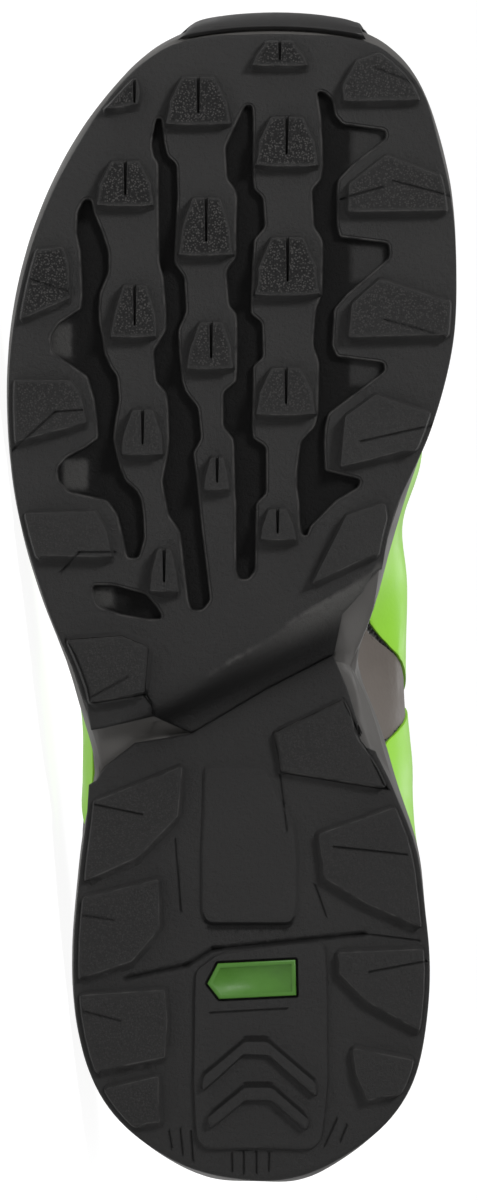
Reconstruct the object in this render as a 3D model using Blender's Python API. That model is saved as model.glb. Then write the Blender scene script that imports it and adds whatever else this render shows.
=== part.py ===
"""A trail running shoe for the right foot, lying on its outer side.

The shoe is made upright in its own frame: x runs from the heel's tip to the toe, y runs
from the centre line towards the inner (big toe) side, and z is the height over the
ground. The last step turns the whole shoe onto its outer side, where it rests on the
sole's edge and on the upper, with the tread facing -Y and the heel towards +X.
"""

import math
from collections import namedtuple

import bmesh
import bpy
import numpy as np
from mathutils import Matrix, Vector
from mathutils.bvhtree import BVHTree
from mathutils.geometry import delaunay_2d_cdt

# Driving sizes, in metres.
LENGTH = 0.300
BALL_WIDTH = 0.1135
HEEL_START = 0.0015
TOE_SETBACK = 0.0045
LUG_HEIGHT = 0.0038
RUBBER = 0.0032
WEB = 0.0009
SEAT_GAP = 0.0003
RUBBER_INSET = 0.0005
OVERLAY_LIFT = 0.0006
RIM_WIDTH = 0.0030
UPPER_WALL = 0.0024
COLLAR_PAD = 0.0040
INSOLE_THICKNESS = 0.0045
TONGUE_THICKNESS = 0.0045
TOPLINE_HEIGHT = 0.1050
OVERLAY = 0.0010
BUMPER = 0.0014
LACE_WIDTH = 0.0046
LACE_THICKNESS = 0.0018
LACE_LIFT = 0.0008
LACE_REACH = 0.0042
CUT_CLEARANCE = 0.00008

# How the tread leaves the ground.
TOE_SPRING = 0.0170
SPRING_START = 0.66
HEEL_BEVEL = 0.0055
BEVEL_END = 0.11
WAIST_DEPTH = 0.0080
WAIST_VALLEY = 0.424
WAIST_SLANT = 0.44
WAIST_WALL = 0.0110
WAIST_FLARE = 0.20
WAIST_RAMP = 0.0380

# Tread details.
LUG_DRAFT = 0.0006
GROOVE_DRAFT = 0.00028
DECK_HEIGHT = 0.0024
PLATEAU_DRAFT = 0.0016
CHEVRON_HEIGHT = 0.0038
BADGE_FLOOR = 0.0008
BADGE_TOP = 0.0022
BADGE_GAP = 0.0004

# How finely the faces are divided.
AROUND = 64
TREAD_AROUND = 84
TREAD_MESH = 0.0125
WALL_ROWS = 8

# The tread tables count in parts, along from the heel's tip and across from the centre line.
ALONG_PARTS = 1182
ACROSS_PARTS = 447

SoleRow = namedtuple("SoleRow", "turn outer inner outer_wide inner_wide")
BedRow = namedtuple("BedRow", "along bed rim")
SideRow = namedtuple("SideRow", "rise flare")
TopRow = namedtuple("TopRow", "turn along half height")
BulgeRow = namedtuple("BulgeRow", "turn roundness outer inner")
SpanRow = namedtuple("SpanRow", "along left right")
CutRow = namedtuple("CutRow", "along across")
ColumnLug = namedtuple("ColumnLug", "rear front across wide narrow")
EdgeLug = namedtuple(
    "EdgeLug", "rear_out rear_in rear_reach nose nose_reach front_in front_reach front_out"
)
StripRow = namedtuple("StripRow", "turn low high")
TongueRow = namedtuple("TongueRow", "along half height")

# Half widths of the sole in millimetres at LENGTH and BALL_WIDTH above, turn 0 at the heel
# and 1 at the toe. The first pair is the rubber's edge, the wide pair the foam's widest line.
SOLE_ROWS = (
    SoleRow(0.00, -2.3, 2.3, -2.3, 2.3),
    SoleRow(0.05, 6.0, 10.6, 8.6, 13.0),
    SoleRow(0.10, 19.6, 22.0, 20.4, 23.0),
    SoleRow(0.15, 31.2, 33.2, 31.6, 33.8),
    SoleRow(0.20, 39.2, 40.8, 39.9, 41.4),
    SoleRow(0.25, 43.8, 44.6, 44.7, 45.2),
    SoleRow(0.30, 44.6, 45.2, 45.6, 45.8),
    SoleRow(0.35, 43.0, 41.8, 43.9, 42.7),
    SoleRow(0.40, 40.8, 35.6, 42.4, 37.4),
    SoleRow(0.45, 42.2, 27.0, 43.6, 32.4),
    SoleRow(0.50, 51.2, 31.6, 52.9, 33.6),
    SoleRow(0.55, 58.2, 36.0, 59.6, 38.4),
    SoleRow(0.60, 61.0, 45.6, 62.1, 46.6),
    SoleRow(0.65, 60.5, 51.2, 61.6, 52.0),
    SoleRow(0.70, 57.0, 52.2, 57.9, 52.7),
    SoleRow(0.75, 51.0, 51.0, 51.5, 51.6),
    SoleRow(0.80, 43.2, 47.6, 43.3, 47.8),
    SoleRow(0.85, 35.2, 43.4, 33.8, 42.4),
    SoleRow(0.90, 26.4, 36.6, 24.4, 35.4),
    SoleRow(0.95, 15.4, 27.2, 12.0, 24.8),
    SoleRow(1.00, -6.0, 6.0, -6.6, 6.6),
)

# Heights over the ground, in millimetres: the foot bed and the top edge of the foam.
BED_ROWS = (
    BedRow(0.00, 32.0, 49.0),
    BedRow(0.08, 31.5, 45.0),
    BedRow(0.20, 30.5, 40.0),
    BedRow(0.35, 29.0, 37.5),
    BedRow(0.50, 26.5, 34.5),
    BedRow(0.65, 24.2, 31.5),
    BedRow(0.78, 24.6, 32.5),
    BedRow(0.88, 29.2, 37.5),
    BedRow(0.95, 34.5, 43.0),
    BedRow(1.00, 38.5, 47.0),
)

# The side of the foam, from the rubber (rise 0) to the top edge (rise 1). Flare 0 is the
# rubber's edge and 1 the widest line. The dip is the rib line that runs round the shoe.
SIDE_ROWS = (
    SideRow(0.00, 0.00),
    SideRow(0.12, 0.62),
    SideRow(0.34, 1.00),
    SideRow(0.47, 0.98),
    SideRow(0.51, 0.55),
    SideRow(0.57, 0.55),
    SideRow(0.61, 0.90),
    SideRow(0.90, 0.62),
)
RIM_INSET = 0.0018

# The collar and the throat, heel to toe, in millimetres at the sizes above.
TOP_ROWS = (
    TopRow(0.00, 5.0, 0.0, 105.0),
    TopRow(0.05, 6.8, 13.0, 104.0),
    TopRow(0.10, 13.0, 24.0, 100.5),
    TopRow(0.15, 25.0, 31.0, 94.0),
    TopRow(0.20, 40.0, 34.5, 88.0),
    TopRow(0.25, 57.0, 36.0, 84.5),
    TopRow(0.30, 75.0, 35.5, 85.0),
    TopRow(0.35, 92.0, 32.5, 89.5),
    TopRow(0.40, 107.0, 27.5, 96.0),
    TopRow(0.44, 118.0, 22.5, 99.5),
    TopRow(0.50, 131.0, 19.5, 98.0),
    TopRow(0.60, 150.0, 18.0, 92.0),
    TopRow(0.70, 167.0, 16.5, 86.5),
    TopRow(0.80, 182.0, 14.5, 82.0),
    TopRow(0.90, 194.0, 10.0, 78.5),
    TopRow(1.00, 200.0, 0.0, 76.5),
)

# How the wall of the upper swells out of the foam, in millimetres, and how rounded it is.
BULGE_ROWS = (
    BulgeRow(0.00, 0.30, 2.5, 2.5),
    BulgeRow(0.15, 0.30, 3.5, 3.5),
    BulgeRow(0.30, 0.30, 4.5, 5.0),
    BulgeRow(0.38, 0.35, 7.5, 9.5),
    BulgeRow(0.45, 0.42, 8.0, 14.0),
    BulgeRow(0.52, 0.52, 6.0, 13.0),
    BulgeRow(0.60, 0.68, 3.5, 7.0),
    BulgeRow(0.70, 0.80, 2.5, 3.5),
    BulgeRow(0.85, 0.80, 1.5, 1.5),
    BulgeRow(1.00, 0.78, 0.5, 0.5),
)
CUP_LEVEL = 0.13
SLANT_STEP = 0.08

# The tongue, front to top, in millimetres at LENGTH above.
TONGUE_ROWS = (
    TongueRow(213.0, 12.0, 70.0),
    TongueRow(204.0, 16.5, 73.0),
    TongueRow(192.0, 20.0, 77.5),
    TongueRow(178.0, 22.0, 82.5),
    TongueRow(163.0, 23.0, 88.0),
    TongueRow(147.0, 23.0, 94.5),
    TongueRow(131.0, 22.0, 101.5),
    TongueRow(118.0, 20.0, 108.0),
    TongueRow(109.0, 19.0, 113.5),
    TongueRow(103.5, 17.5, 117.5),
    TongueRow(100.0, 13.0, 120.0),
)
TONGUE_DROP = 0.0120
TONGUE_CLEARANCE = 0.0013
TONGUE_SEAM = 0.0005
TONGUE_REACH = 0.0050

# The rear edge of the front rubber and the front edge of the heel rubber, in parts.
FRONT_RUBBER_REAR = (
    CutRow(622, 121),
    CutRow(604, 112),
    CutRow(581, 91),
    CutRow(541, 83),
    CutRow(507, 17),
    CutRow(462, -59),
    CutRow(455, -110),
    CutRow(456, -136),
    CutRow(466, -157),
    CutRow(491, -161),
)
HEEL_RUBBER_FRONT = (
    CutRow(412, -153),
    CutRow(426, -144),
    CutRow(449, -115),
    CutRow(458, -59),
    CutRow(503, 17),
    CutRow(537, 83),
    CutRow(504, 96),
    CutRow(478, 104),
    CutRow(458, 112),
    CutRow(447, 117),
)
HEEL_EDGE_OUTER = 408
HEEL_EDGE_INNER = 442
FRONT_EDGE_OUTER = 497
FRONT_EDGE_INNER = 626

OUTER_GROOVE = (
    SpanRow(996, -166, -159),
    SpanRow(984, -173, -157),
    SpanRow(962, -174, -148),
    SpanRow(944, -170, -142),
    SpanRow(923, -169, -142),
    SpanRow(901, -168, -151),
    SpanRow(886, -169, -152),
    SpanRow(871, -192, -151),
    SpanRow(858, -200, -148),
    SpanRow(842, -199, -146),
    SpanRow(828, -177, -140),
    SpanRow(818, -163, -133),
    SpanRow(795, -156, -131),
    SpanRow(774, -153, -135),
    SpanRow(756, -152, -137),
    SpanRow(746, -166, -135),
    SpanRow(737, -184, -133),
    SpanRow(726, -193, -130),
    SpanRow(714, -192, -125),
    SpanRow(703, -183, -113),
    SpanRow(694, -143, -109),
    SpanRow(680, -133, -107),
    SpanRow(656, -127, -106),
    SpanRow(636, -123, -112),
)
MIDDLE_OUTER_GROOVE = (
    SpanRow(1078, -94, -89),
    SpanRow(1052, -99, -86),
    SpanRow(1040, -97, -83),
    SpanRow(1032, -92, -74),
    SpanRow(999, -92, -73),
    SpanRow(932, -91, -76),
    SpanRow(918, -87, -66),
    SpanRow(883, -84, -64),
    SpanRow(865, -84, -72),
    SpanRow(843, -97, -71),
    SpanRow(813, -94, -68),
    SpanRow(802, -84, -64),
    SpanRow(787, -82, -52),
    SpanRow(756, -81, -49),
    SpanRow(742, -82, -57),
    SpanRow(713, -88, -53),
    SpanRow(680, -82, -50),
    SpanRow(662, -70, -48),
    SpanRow(594, -62, -40),
    SpanRow(584, -59, -48),
)
MIDDLE_INNER_GROOVE = (
    SpanRow(1091, -5, 2),
    SpanRow(1077, -12, 3),
    SpanRow(1049, -25, 3),
    SpanRow(1017, -23, 3),
    SpanRow(1006, -15, 4),
    SpanRow(998, -13, 13),
    SpanRow(968, -14, 15),
    SpanRow(956, -14, 4),
    SpanRow(938, -14, 3),
    SpanRow(924, -24, 2),
    SpanRow(889, -21, 1),
    SpanRow(881, -14, 1),
    SpanRow(872, -13, 12),
    SpanRow(837, -13, 13),
    SpanRow(829, -13, 3),
    SpanRow(813, -14, 3),
    SpanRow(802, -27, 3),
    SpanRow(768, -27, 2),
    SpanRow(756, -17, 3),
    SpanRow(748, -16, 16),
    SpanRow(701, -15, 16),
    SpanRow(691, -14, 6),
    SpanRow(624, -14, 5),
    SpanRow(615, -11, -2),
)
INNER_GROOVE = (
    SpanRow(1105, 65, 72),
    SpanRow(1097, 67, 81),
    SpanRow(1081, 70, 84),
    SpanRow(1072, 71, 92),
    SpanRow(1066, 71, 135),
    SpanRow(1058, 72, 136),
    SpanRow(1031, 73, 102),
    SpanRow(1016, 71, 88),
    SpanRow(1006, 62, 87),
    SpanRow(969, 64, 87),
    SpanRow(958, 71, 90),
    SpanRow(952, 73, 139),
    SpanRow(938, 73, 140),
    SpanRow(901, 72, 97),
    SpanRow(886, 66, 84),
    SpanRow(849, 63, 82),
    SpanRow(838, 67, 87),
    SpanRow(832, 69, 134),
    SpanRow(824, 69, 135),
    SpanRow(781, 68, 78),
    SpanRow(768, 65, 75),
    SpanRow(753, 51, 74),
    SpanRow(724, 47, 75),
    SpanRow(715, 47, 111),
    SpanRow(707, 47, 108),
    SpanRow(694, 49, 86),
    SpanRow(668, 50, 60),
    SpanRow(659, 52, 57),
)
OUTER_NOTCH = (
    SpanRow(609, -158, -138),
    SpanRow(600, -157, -104),
    SpanRow(588, -153, -94),
    SpanRow(580, -130, -89),
    SpanRow(575, -103, -89),
)
HEEL_DECK = (
    SpanRow(252, 42, 74),
    SpanRow(241, -33, 77),
    SpanRow(224, -56, 78),
    SpanRow(194, -57, 79),
    SpanRow(114, -57, 78),
    SpanRow(54, -54, 72),
    SpanRow(42, -44, 62),
)
PLATEAU = (
    SpanRow(432, -50, 16),
    SpanRow(419, -51, 24),
    SpanRow(394, -51, 34),
    SpanRow(368, -52, 47),
    SpanRow(344, -53, 49),
    SpanRow(284, -53, 50),
    SpanRow(273, -50, 48),
    SpanRow(266, -42, 41),
)
COLUMN_LUGS = (
    ColumnLug(1128, 1156, 29, 48, 27),
    ColumnLug(1068, 1121, -52, 60, 34),
    ColumnLug(936, 999, -44, 52, 29),
    ColumnLug(822, 874, -39, 44, 25),
    ColumnLug(701, 739, -33, 26, 15),
    ColumnLug(986, 1036, -125, 54, 30),
    ColumnLug(854, 911, -115.5, 43, 25),
    ColumnLug(736, 786, -107.5, 41, 23),
    ColumnLug(599, 647, -86, 28, 16),
    ColumnLug(1026, 1081, 36.5, 59, 33),
    ColumnLug(896, 959, 37.5, 61, 34),
    ColumnLug(776, 828, 36, 56, 31),
    ColumnLug(651, 687, 27.5, 35, 20),
)
INNER_EDGE_LUGS = (
    EdgeLug(1095, 1092, 90, 1112, 88, 1138, 102, 1148),
    EdgeLug(982, 980, 96, 1012, 97, 1043, 136, 1022),
    EdgeLug(856, 854, 96, 892, 100, 918, 129, 894),
    EdgeLug(742, 723, 88, 779, 93, 802, 125, 782),
    EdgeLug(638, 608, 60, 681, 95, 694, 135, 674),
)
OUTER_EDGE_LUGS = (
    EdgeLug(1086, 1089, -113, 1104, -110, 1118, -112, 1120),
    EdgeLug(872, 894, -178, 932, -180, 950, -186, 947),
    EdgeLug(749, 769, -161, 802, -168, 816, -180, 816),
    EdgeLug(634, 634, -135, 664, -142, 685, -154, 682),
    EdgeLug(488, 498, -104, 548, -100, 560, -128, 554),
)
OUTER_HEEL_LUGS = (
    EdgeLug(310, 334, -112, 376, -71, 430, -66, 394),
    EdgeLug(212, 230, -118, 264, -89, 317, -90, 298),
    EdgeLug(118, 134, -83, 174, -81, 206, -84, 200),
    EdgeLug(63, 69, -86, 99, -88, 120, -88, 104),
)
INNER_HEEL_LUGS = (
    EdgeLug(404, 420, 30, 462, 22, 496, 93, 437),
    EdgeLug(264, 288, 114, 314, 70, 361, 63, 390),
    EdgeLug(160, 190, 116, 219, 88, 243, 86, 247),
    EdgeLug(97, 90, 114, 119, 103, 148, 100, 134),
)

BADGE_RECESS = (
    CutRow(210, -46),
    CutRow(192, -32),
    CutRow(196, 49),
    CutRow(237, 48),
    CutRow(233, -34),
)
FRONT_CHEVRON = (
    CutRow(154, -6),
    CutRow(154, 18),
    CutRow(112, 66),
    CutRow(94, 66),
    CutRow(137, 18),
    CutRow(138, -6),
    CutRow(100, -48),
    CutRow(118, -48),
)
REAR_CHEVRON = (
    CutRow(108, -6),
    CutRow(108, 22),
    CutRow(74, 60),
    CutRow(60, 56),
    CutRow(92, 20),
    CutRow(92, -4),
    CutRow(62, -40),
    CutRow(76, -44),
)

# The overlays of the upper, from the rear turn to the front one, with the levels of their
# lower and upper edges.
OUTER_GREEN_ROWS = (
    StripRow(0.330, 0.18, 0.20),
    StripRow(0.375, 0.18, 0.60),
    StripRow(0.520, 0.18, 0.60),
    StripRow(0.575, 0.18, 0.20),
)
INNER_GREEN_REAR_ROWS = (
    StripRow(0.340, 0.18, 0.20),
    StripRow(0.365, 0.18, 0.60),
    StripRow(0.424, 0.18, 0.60),
    StripRow(0.4525, 0.54, 0.60),
)
INNER_SADDLE_ROWS = (
    StripRow(0.4300, 0.18, 0.20),
    StripRow(0.4555, 0.18, 0.50),
    StripRow(0.4610, 0.18, 0.50),
    StripRow(0.4870, 0.18, 0.20),
)
INNER_GREEN_FRONT_ROWS = (
    StripRow(0.4640, 0.54, 0.60),
    StripRow(0.4930, 0.18, 0.60),
    StripRow(0.540, 0.18, 0.60),
    StripRow(0.600, 0.18, 0.20),
)
COUNTER_ROWS = (
    StripRow(0.00, 0.18, 0.66),
    StripRow(0.10, 0.18, 0.63),
    StripRow(0.20, 0.18, 0.50),
    StripRow(0.29, 0.18, 0.26),
)
EYESTAY_ROWS = (
    StripRow(0.42, 0.78, 0.97),
    StripRow(0.50, 0.76, 0.97),
    StripRow(0.70, 0.78, 0.975),
    StripRow(0.90, 0.84, 0.98),
    StripRow(1.00, 0.86, 0.98),
)
BUMPER_ROWS = (
    StripRow(0.86, 0.04, 0.26),
    StripRow(0.91, 0.04, 0.34),
    StripRow(1.00, 0.04, 0.42),
)
LACE_TURNS = (0.47, 0.55, 0.63, 0.71, 0.79, 0.87)
LACE_LEVEL = 0.90


def values(rows, name):
    return np.array([getattr(row, name) for row in rows], float)


def smooth(keys, heights, at):
    """Reads a table at any place along it, as a smooth curve through its rows."""
    slopes = np.gradient(heights, keys)
    at = np.clip(at, keys[0], keys[-1])
    i = np.clip(np.searchsorted(keys, at, side="right") - 1, 0, len(keys) - 2)
    span = keys[i + 1] - keys[i]
    t = (at - keys[i]) / span
    start = (1 + 2 * t) * (1 - t) ** 2 * heights[i] + t * (1 - t) ** 2 * span * slopes[i]
    end = t**2 * (3 - 2 * t) * heights[i + 1] + t**2 * (t - 1) * span * slopes[i + 1]
    return start + end


def around_curve(rows, outer, inner, outer_sign):
    """Reads a table of both sides right round the shoe.

    The place around is 0 at the heel, 1 at the toe by the outer side, and 2 at the heel
    again by the inner side.
    """
    turns = values(rows, "turn")
    outers = outer_sign * values(rows, outer)
    inners = values(rows, inner)
    keys = np.concatenate([turns, 2 - turns[-2:0:-1]])
    loop = np.concatenate([outers, inners[-2:0:-1]])
    keys = np.concatenate([keys - 2, keys, keys + 2])
    loop = np.concatenate([loop, loop, loop])
    return lambda around: smooth(keys, loop, np.mod(around, 2))


def smooth_step(t):
    t = np.clip(t, 0, 1)
    return t * t * (3 - 2 * t)


WIDTH_SCALE = BALL_WIDTH / 113.5
LENGTH_SCALE = LENGTH / 300
HEIGHT_SCALE = TOPLINE_HEIGHT / 105.0
rubber_side = around_curve(SOLE_ROWS, "outer", "inner", -1)
foam_side = around_curve(SOLE_ROWS, "outer_wide", "inner_wide", -1)
top_along = around_curve(TOP_ROWS, "along", "along", 1)
top_half = around_curve(TOP_ROWS, "half", "half", -1)
top_height = around_curve(TOP_ROWS, "height", "height", 1)
roundness = around_curve(BULGE_ROWS, "roundness", "roundness", 1)
bulge = around_curve(BULGE_ROWS, "outer", "inner", 1)


def fraction_along(around):
    return (1 - np.cos(np.pi * around)) / 2


def rubber_edge(around):
    """The rubber's edge in plan."""
    reach = LENGTH - HEEL_START - TOE_SETBACK
    x = HEEL_START + reach * fraction_along(around)
    return np.stack([x, WIDTH_SCALE * rubber_side(around)], axis=-1)


def foam_edge(around):
    """The widest line of the foam in plan."""
    x = LENGTH * fraction_along(around)
    return np.stack([x, WIDTH_SCALE * foam_side(around)], axis=-1)


def outwards(edge, around):
    """The directions in plan that point away from the shoe."""
    step = 0.004
    tangent = edge(around + step) - edge(around - step)
    normal = np.stack([tangent[..., 1], -tangent[..., 0]], axis=-1)
    return normal / np.linalg.norm(normal, axis=-1, keepdims=True)


def inset_edge(edge, around, inset):
    return edge(around) - inset * outwards(edge, around)


def waist_wall(y):
    """The length of the slope in front of the waist's valley."""
    return WAIST_WALL + WAIST_FLARE * np.clip(y, -0.018, 0.040)


def ground(x, y):
    """How far the tread's lowest faces stand over the ground."""
    s = x / LENGTH
    spring = TOE_SPRING * (np.clip(s - SPRING_START, 0, None) / (1 - SPRING_START)) ** 2
    bevel = HEEL_BEVEL * (np.clip(BEVEL_END - s, 0, None) / BEVEL_END) ** 2
    past = x - WAIST_VALLEY * LENGTH - WAIST_SLANT * y
    front = smooth_step(1 - past / waist_wall(y))
    rear = smooth_step(1 + past / WAIST_RAMP)
    return spring + bevel + WAIST_DEPTH * np.where(past > 0, front, rear)


def bed_height(x):
    return LENGTH_SCALE * smooth(values(BED_ROWS, "along"), values(BED_ROWS, "bed"), x / LENGTH)


def rim_height(x):
    return LENGTH_SCALE * smooth(values(BED_ROWS, "along"), values(BED_ROWS, "rim"), x / LENGTH)


def foam_side_point(around, rise, out=0.0):
    """A point on the side of the foam, rise 0 at the rubber and 1 at the top edge."""
    rises = values(SIDE_ROWS, "rise")
    flares = values(SIDE_ROWS, "flare")
    low = rubber_edge(around)
    wide = foam_edge(around)
    plan = low + (wide - low) * np.interp(rise, rises, flares)[..., None]
    top = inset_edge(foam_edge, around, RIM_INSET)
    over = np.clip((rise - rises[-1]) / (1 - rises[-1]), 0, 1)[..., None]
    plan = plan * (1 - over) + top * over
    plan = plan + out * outwards(foam_edge, around)
    bottom = ground(low[..., 0], low[..., 1]) + LUG_HEIGHT + RUBBER + SEAT_GAP
    z = bottom + (rim_height(top[..., 0]) - bottom) * rise
    return np.concatenate([plan, z[..., None]], axis=-1)


def upper_base(around, level, out):
    """The outside of the upper's wall, level 0 on the foot bed and 1 at the top line."""
    inset = RIM_INSET + RIM_WIDTH + SEAT_GAP - out
    foot = inset_edge(foam_edge, around, inset)
    seat = bed_height(foot[..., 0]) + SEAT_GAP
    rim = rim_height(foot[..., 0]) + 0.0006
    top = np.stack(
        [
            LENGTH_SCALE * top_along(around),
            WIDTH_SCALE * top_half(around),
            HEIGHT_SCALE * top_height(around),
        ],
        axis=-1,
    )
    t = np.clip((level - CUP_LEVEL) / (1 - CUP_LEVEL), 0, 1)
    k = roundness(around)
    reach = (1 - k) * t + k * (1 - np.cos(t * np.pi / 2))
    rise = (1 - k) * t + k * np.sin(t * np.pi / 2)
    swell = WIDTH_SCALE * bulge(around) * np.sin(np.pi * t**0.75)
    plan = foot + (top[..., :2] - foot) * reach[..., None]
    plan = plan + outwards(foam_edge, around) * swell[..., None]
    z = np.where(level < CUP_LEVEL, seat + (rim - seat) * level / CUP_LEVEL, rim + (top[..., 2] - rim) * rise)
    return np.concatenate([plan, z[..., None]], axis=-1)


def wall_normal(around, level):
    """The outward directions of the upper's wall."""
    step = 0.004
    low = np.clip(level - step, 0, 1)
    high = np.clip(level + step, 0, 1)
    along = upper_base(around + step, level, 0) - upper_base(around - step, level, 0)
    up = upper_base(around, high, 0) - upper_base(around, low, 0)
    normal = np.cross(along, up)
    return normal / np.linalg.norm(normal, axis=-1, keepdims=True)


def upper_point(around, level, out=0.0):
    """A point at a given distance off the outside of the upper's wall."""
    around, level = np.broadcast_arrays(np.asarray(around, float), np.asarray(level, float))
    return upper_base(around, level, 0.0) + out * wall_normal(around, level)


def wall_levels():
    """The rows of the upper's wall, from the foot bed to the top line."""
    return np.concatenate([[0.0], np.linspace(CUP_LEVEL, 1, WALL_ROWS)])


def faceted_point(around, level, out):
    """A point off the upper's wall as its flat faces have it."""
    levels = wall_levels()
    step = 2 / AROUND
    column = np.floor(around / step)
    row = np.clip(np.searchsorted(levels, level, side="right") - 1, 0, len(levels) - 2)
    s = (around / step - column)[..., None]
    t = ((level - levels[row]) / (levels[row + 1] - levels[row]))[..., None]
    corners = [
        upper_base((column + i) * step, levels[row + j], 0.0) for i in (0, 1) for j in (0, 1)
    ]
    by_row = corners[0] + s * (corners[2] - corners[0]) + t * (corners[3] - corners[2])
    by_column = corners[0] + t * (corners[1] - corners[0]) + s * (corners[3] - corners[1])
    return np.where(s >= t, by_row, by_column) + out * wall_normal(around, np.maximum(level, 0.24))


def wall_thickness(around, level):
    """The wall, thicker where the collar is padded."""
    turn = np.minimum(np.mod(around, 2), 2 - np.mod(around, 2))
    collar = smooth_step((0.46 - turn) / 0.08)
    return UPPER_WALL + COLLAR_PAD * collar * smooth_step((level - 0.62) / 0.24)


def plastic(name, colour, roughness_value):
    made = bpy.data.materials.new(name)
    made.use_nodes = True
    shader = made.node_tree.nodes["Principled BSDF"]
    shader.inputs["Base Color"].default_value = (*colour, 1)
    shader.inputs["Roughness"].default_value = roughness_value
    return made


def make_object(name, points, faces, material):
    """A mesh object from points and faces, with its faces turned outwards."""
    mesh = bpy.data.meshes.new(name)
    mesh.from_pydata([tuple(p) for p in points], [], [tuple(f) for f in faces])
    work = bmesh.new()
    work.from_mesh(mesh)
    bmesh.ops.triangulate(work, faces=work.faces)
    bmesh.ops.recalc_face_normals(work, faces=work.faces)
    if work.calc_volume(signed=True) < 0:
        bmesh.ops.reverse_faces(work, faces=work.faces)
    work.to_mesh(mesh)
    work.free()
    mesh.materials.append(material)
    made = bpy.data.objects.new(name, mesh)
    bpy.context.collection.objects.link(made)
    return made


def ring_faces(first, second, count):
    """Triangles between two rings, each split from the first ring's start to the second's end."""
    faces = []
    for i in range(count):
        j = (i + 1) % count
        faces.append((first + i, first + j, second + j))
        faces.append((first + i, second + j, second + i))
    return faces


def inside(loop, spots):
    """Which of the spots lie in the loop."""
    x, y = spots[:, 0], spots[:, 1]
    found = np.zeros(len(spots), bool)
    for (x0, y0), (x1, y1) in zip(loop, np.roll(loop, -1, axis=0)):
        crosses = (y0 > y) != (y1 > y)
        if y1 != y0:
            found ^= crosses & (x < (x1 - x0) * (y - y0) / (y1 - y0) + x0)
    return found


def clearance(loop, spots):
    """How far the spots are from the loop's line."""
    least = np.full(len(spots), np.inf)
    for start, end in zip(loop, np.roll(loop, -1, axis=0)):
        way = end - start
        share = np.clip(((spots - start) @ way) / max(way @ way, 1e-18), 0, 1)
        least = np.minimum(least, np.linalg.norm(spots - start - share[:, None] * way, axis=1))
    return least


def counterclockwise(loop):
    loop = np.asarray(loop, float)
    x, y = loop[:, 0], loop[:, 1]
    area = np.sum(x * np.roll(y, -1) - y * np.roll(x, -1))
    return loop if area > 0 else loop[::-1]


def shrink(loop, inset):
    """The loop moved inwards by the same distance all along."""
    loop = counterclockwise(loop)
    before = loop - np.roll(loop, 1, axis=0)
    after = np.roll(loop, -1, axis=0) - loop
    before /= np.linalg.norm(before, axis=1, keepdims=True)
    after /= np.linalg.norm(after, axis=1, keepdims=True)
    inward_before = np.stack([-before[:, 1], before[:, 0]], axis=1)
    inward_after = np.stack([-after[:, 1], after[:, 0]], axis=1)
    middle = inward_before + inward_after
    scale = np.maximum(np.sum(middle * inward_before, axis=1), 0.45)
    return loop + inset * middle / scale[:, None]


def grid_spots(outline, spacing, loops):
    """Evenly spread points inside the outline that keep away from every loop."""
    low, high = outline.min(axis=0), outline.max(axis=0)
    xs = np.arange(low[0] + spacing / 2, high[0], spacing)
    ys = np.arange(low[1] + spacing / 2, high[1], spacing * 0.866)
    spots = np.array([(x + spacing / 2 * (j % 2), y) for j, y in enumerate(ys) for x in xs])
    spots = spots[inside(outline, spots)]
    for loop in [outline, *loops]:
        spots = spots[clearance(loop, spots) > spacing * 0.32]
    return spots


def triangulated(outline, loops, spots):
    """Triangles over the outline that follow every loop's line."""
    points = np.concatenate([outline, *loops, spots]) if len(spots) else np.concatenate([outline, *loops])
    edges = []
    start = 0
    for loop in [outline, *loops]:
        count = len(loop)
        edges += [(start + i, start + (i + 1) % count) for i in range(count)]
        start += count
    scaled = [Vector((x * 1000, y * 1000)) for x, y in points]
    found = delaunay_2d_cdt(scaled, edges, [], 1, 1e-5)
    made = np.array([(v.x / 1000, v.y / 1000) for v in found[0]])
    origin = [sources[0] if sources else -1 for sources in found[3]]
    return made, [tuple(f) for f in found[2]], np.array(origin)


class Feature:
    """A lug, a groove or a step of the tread: its two loops and the heights inside them."""

    def __init__(self, loop, draft, outer_level, inner_level):
        self.outer = counterclockwise(loop)
        self.inner = shrink(self.outer, draft)
        self.outer_level = outer_level
        self.inner_level = inner_level


def waist_spots(outline, loops):
    """Points in rows along the waist's valley, where the tread bends most."""
    ys = np.linspace(-0.4, 0.34, 9) * BALL_WIDTH
    rows = []
    for past in (-0.9, -0.5, -0.2, 0.35, 0.7, 1.0):
        wall = WAIST_RAMP if past < 0 else waist_wall(ys)
        rows.append(np.column_stack([WAIST_VALLEY * LENGTH + WAIST_SLANT * ys + past * wall, ys]))
    spots = np.concatenate(rows)
    spots = spots[inside(outline, spots)]
    for loop in [outline, *loops]:
        spots = spots[clearance(loop, spots) > 0.0016]
    return spots


def tread_spots(outline, loops, spacing):
    """Points inside the outline, denser at the waist."""
    spots = grid_spots(outline, spacing, loops)
    extra = waist_spots(outline, loops)
    for spot in extra:
        spots = spots[np.linalg.norm(spots - spot, axis=1) > 0.0055]
    return np.concatenate([spots, extra])


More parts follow.
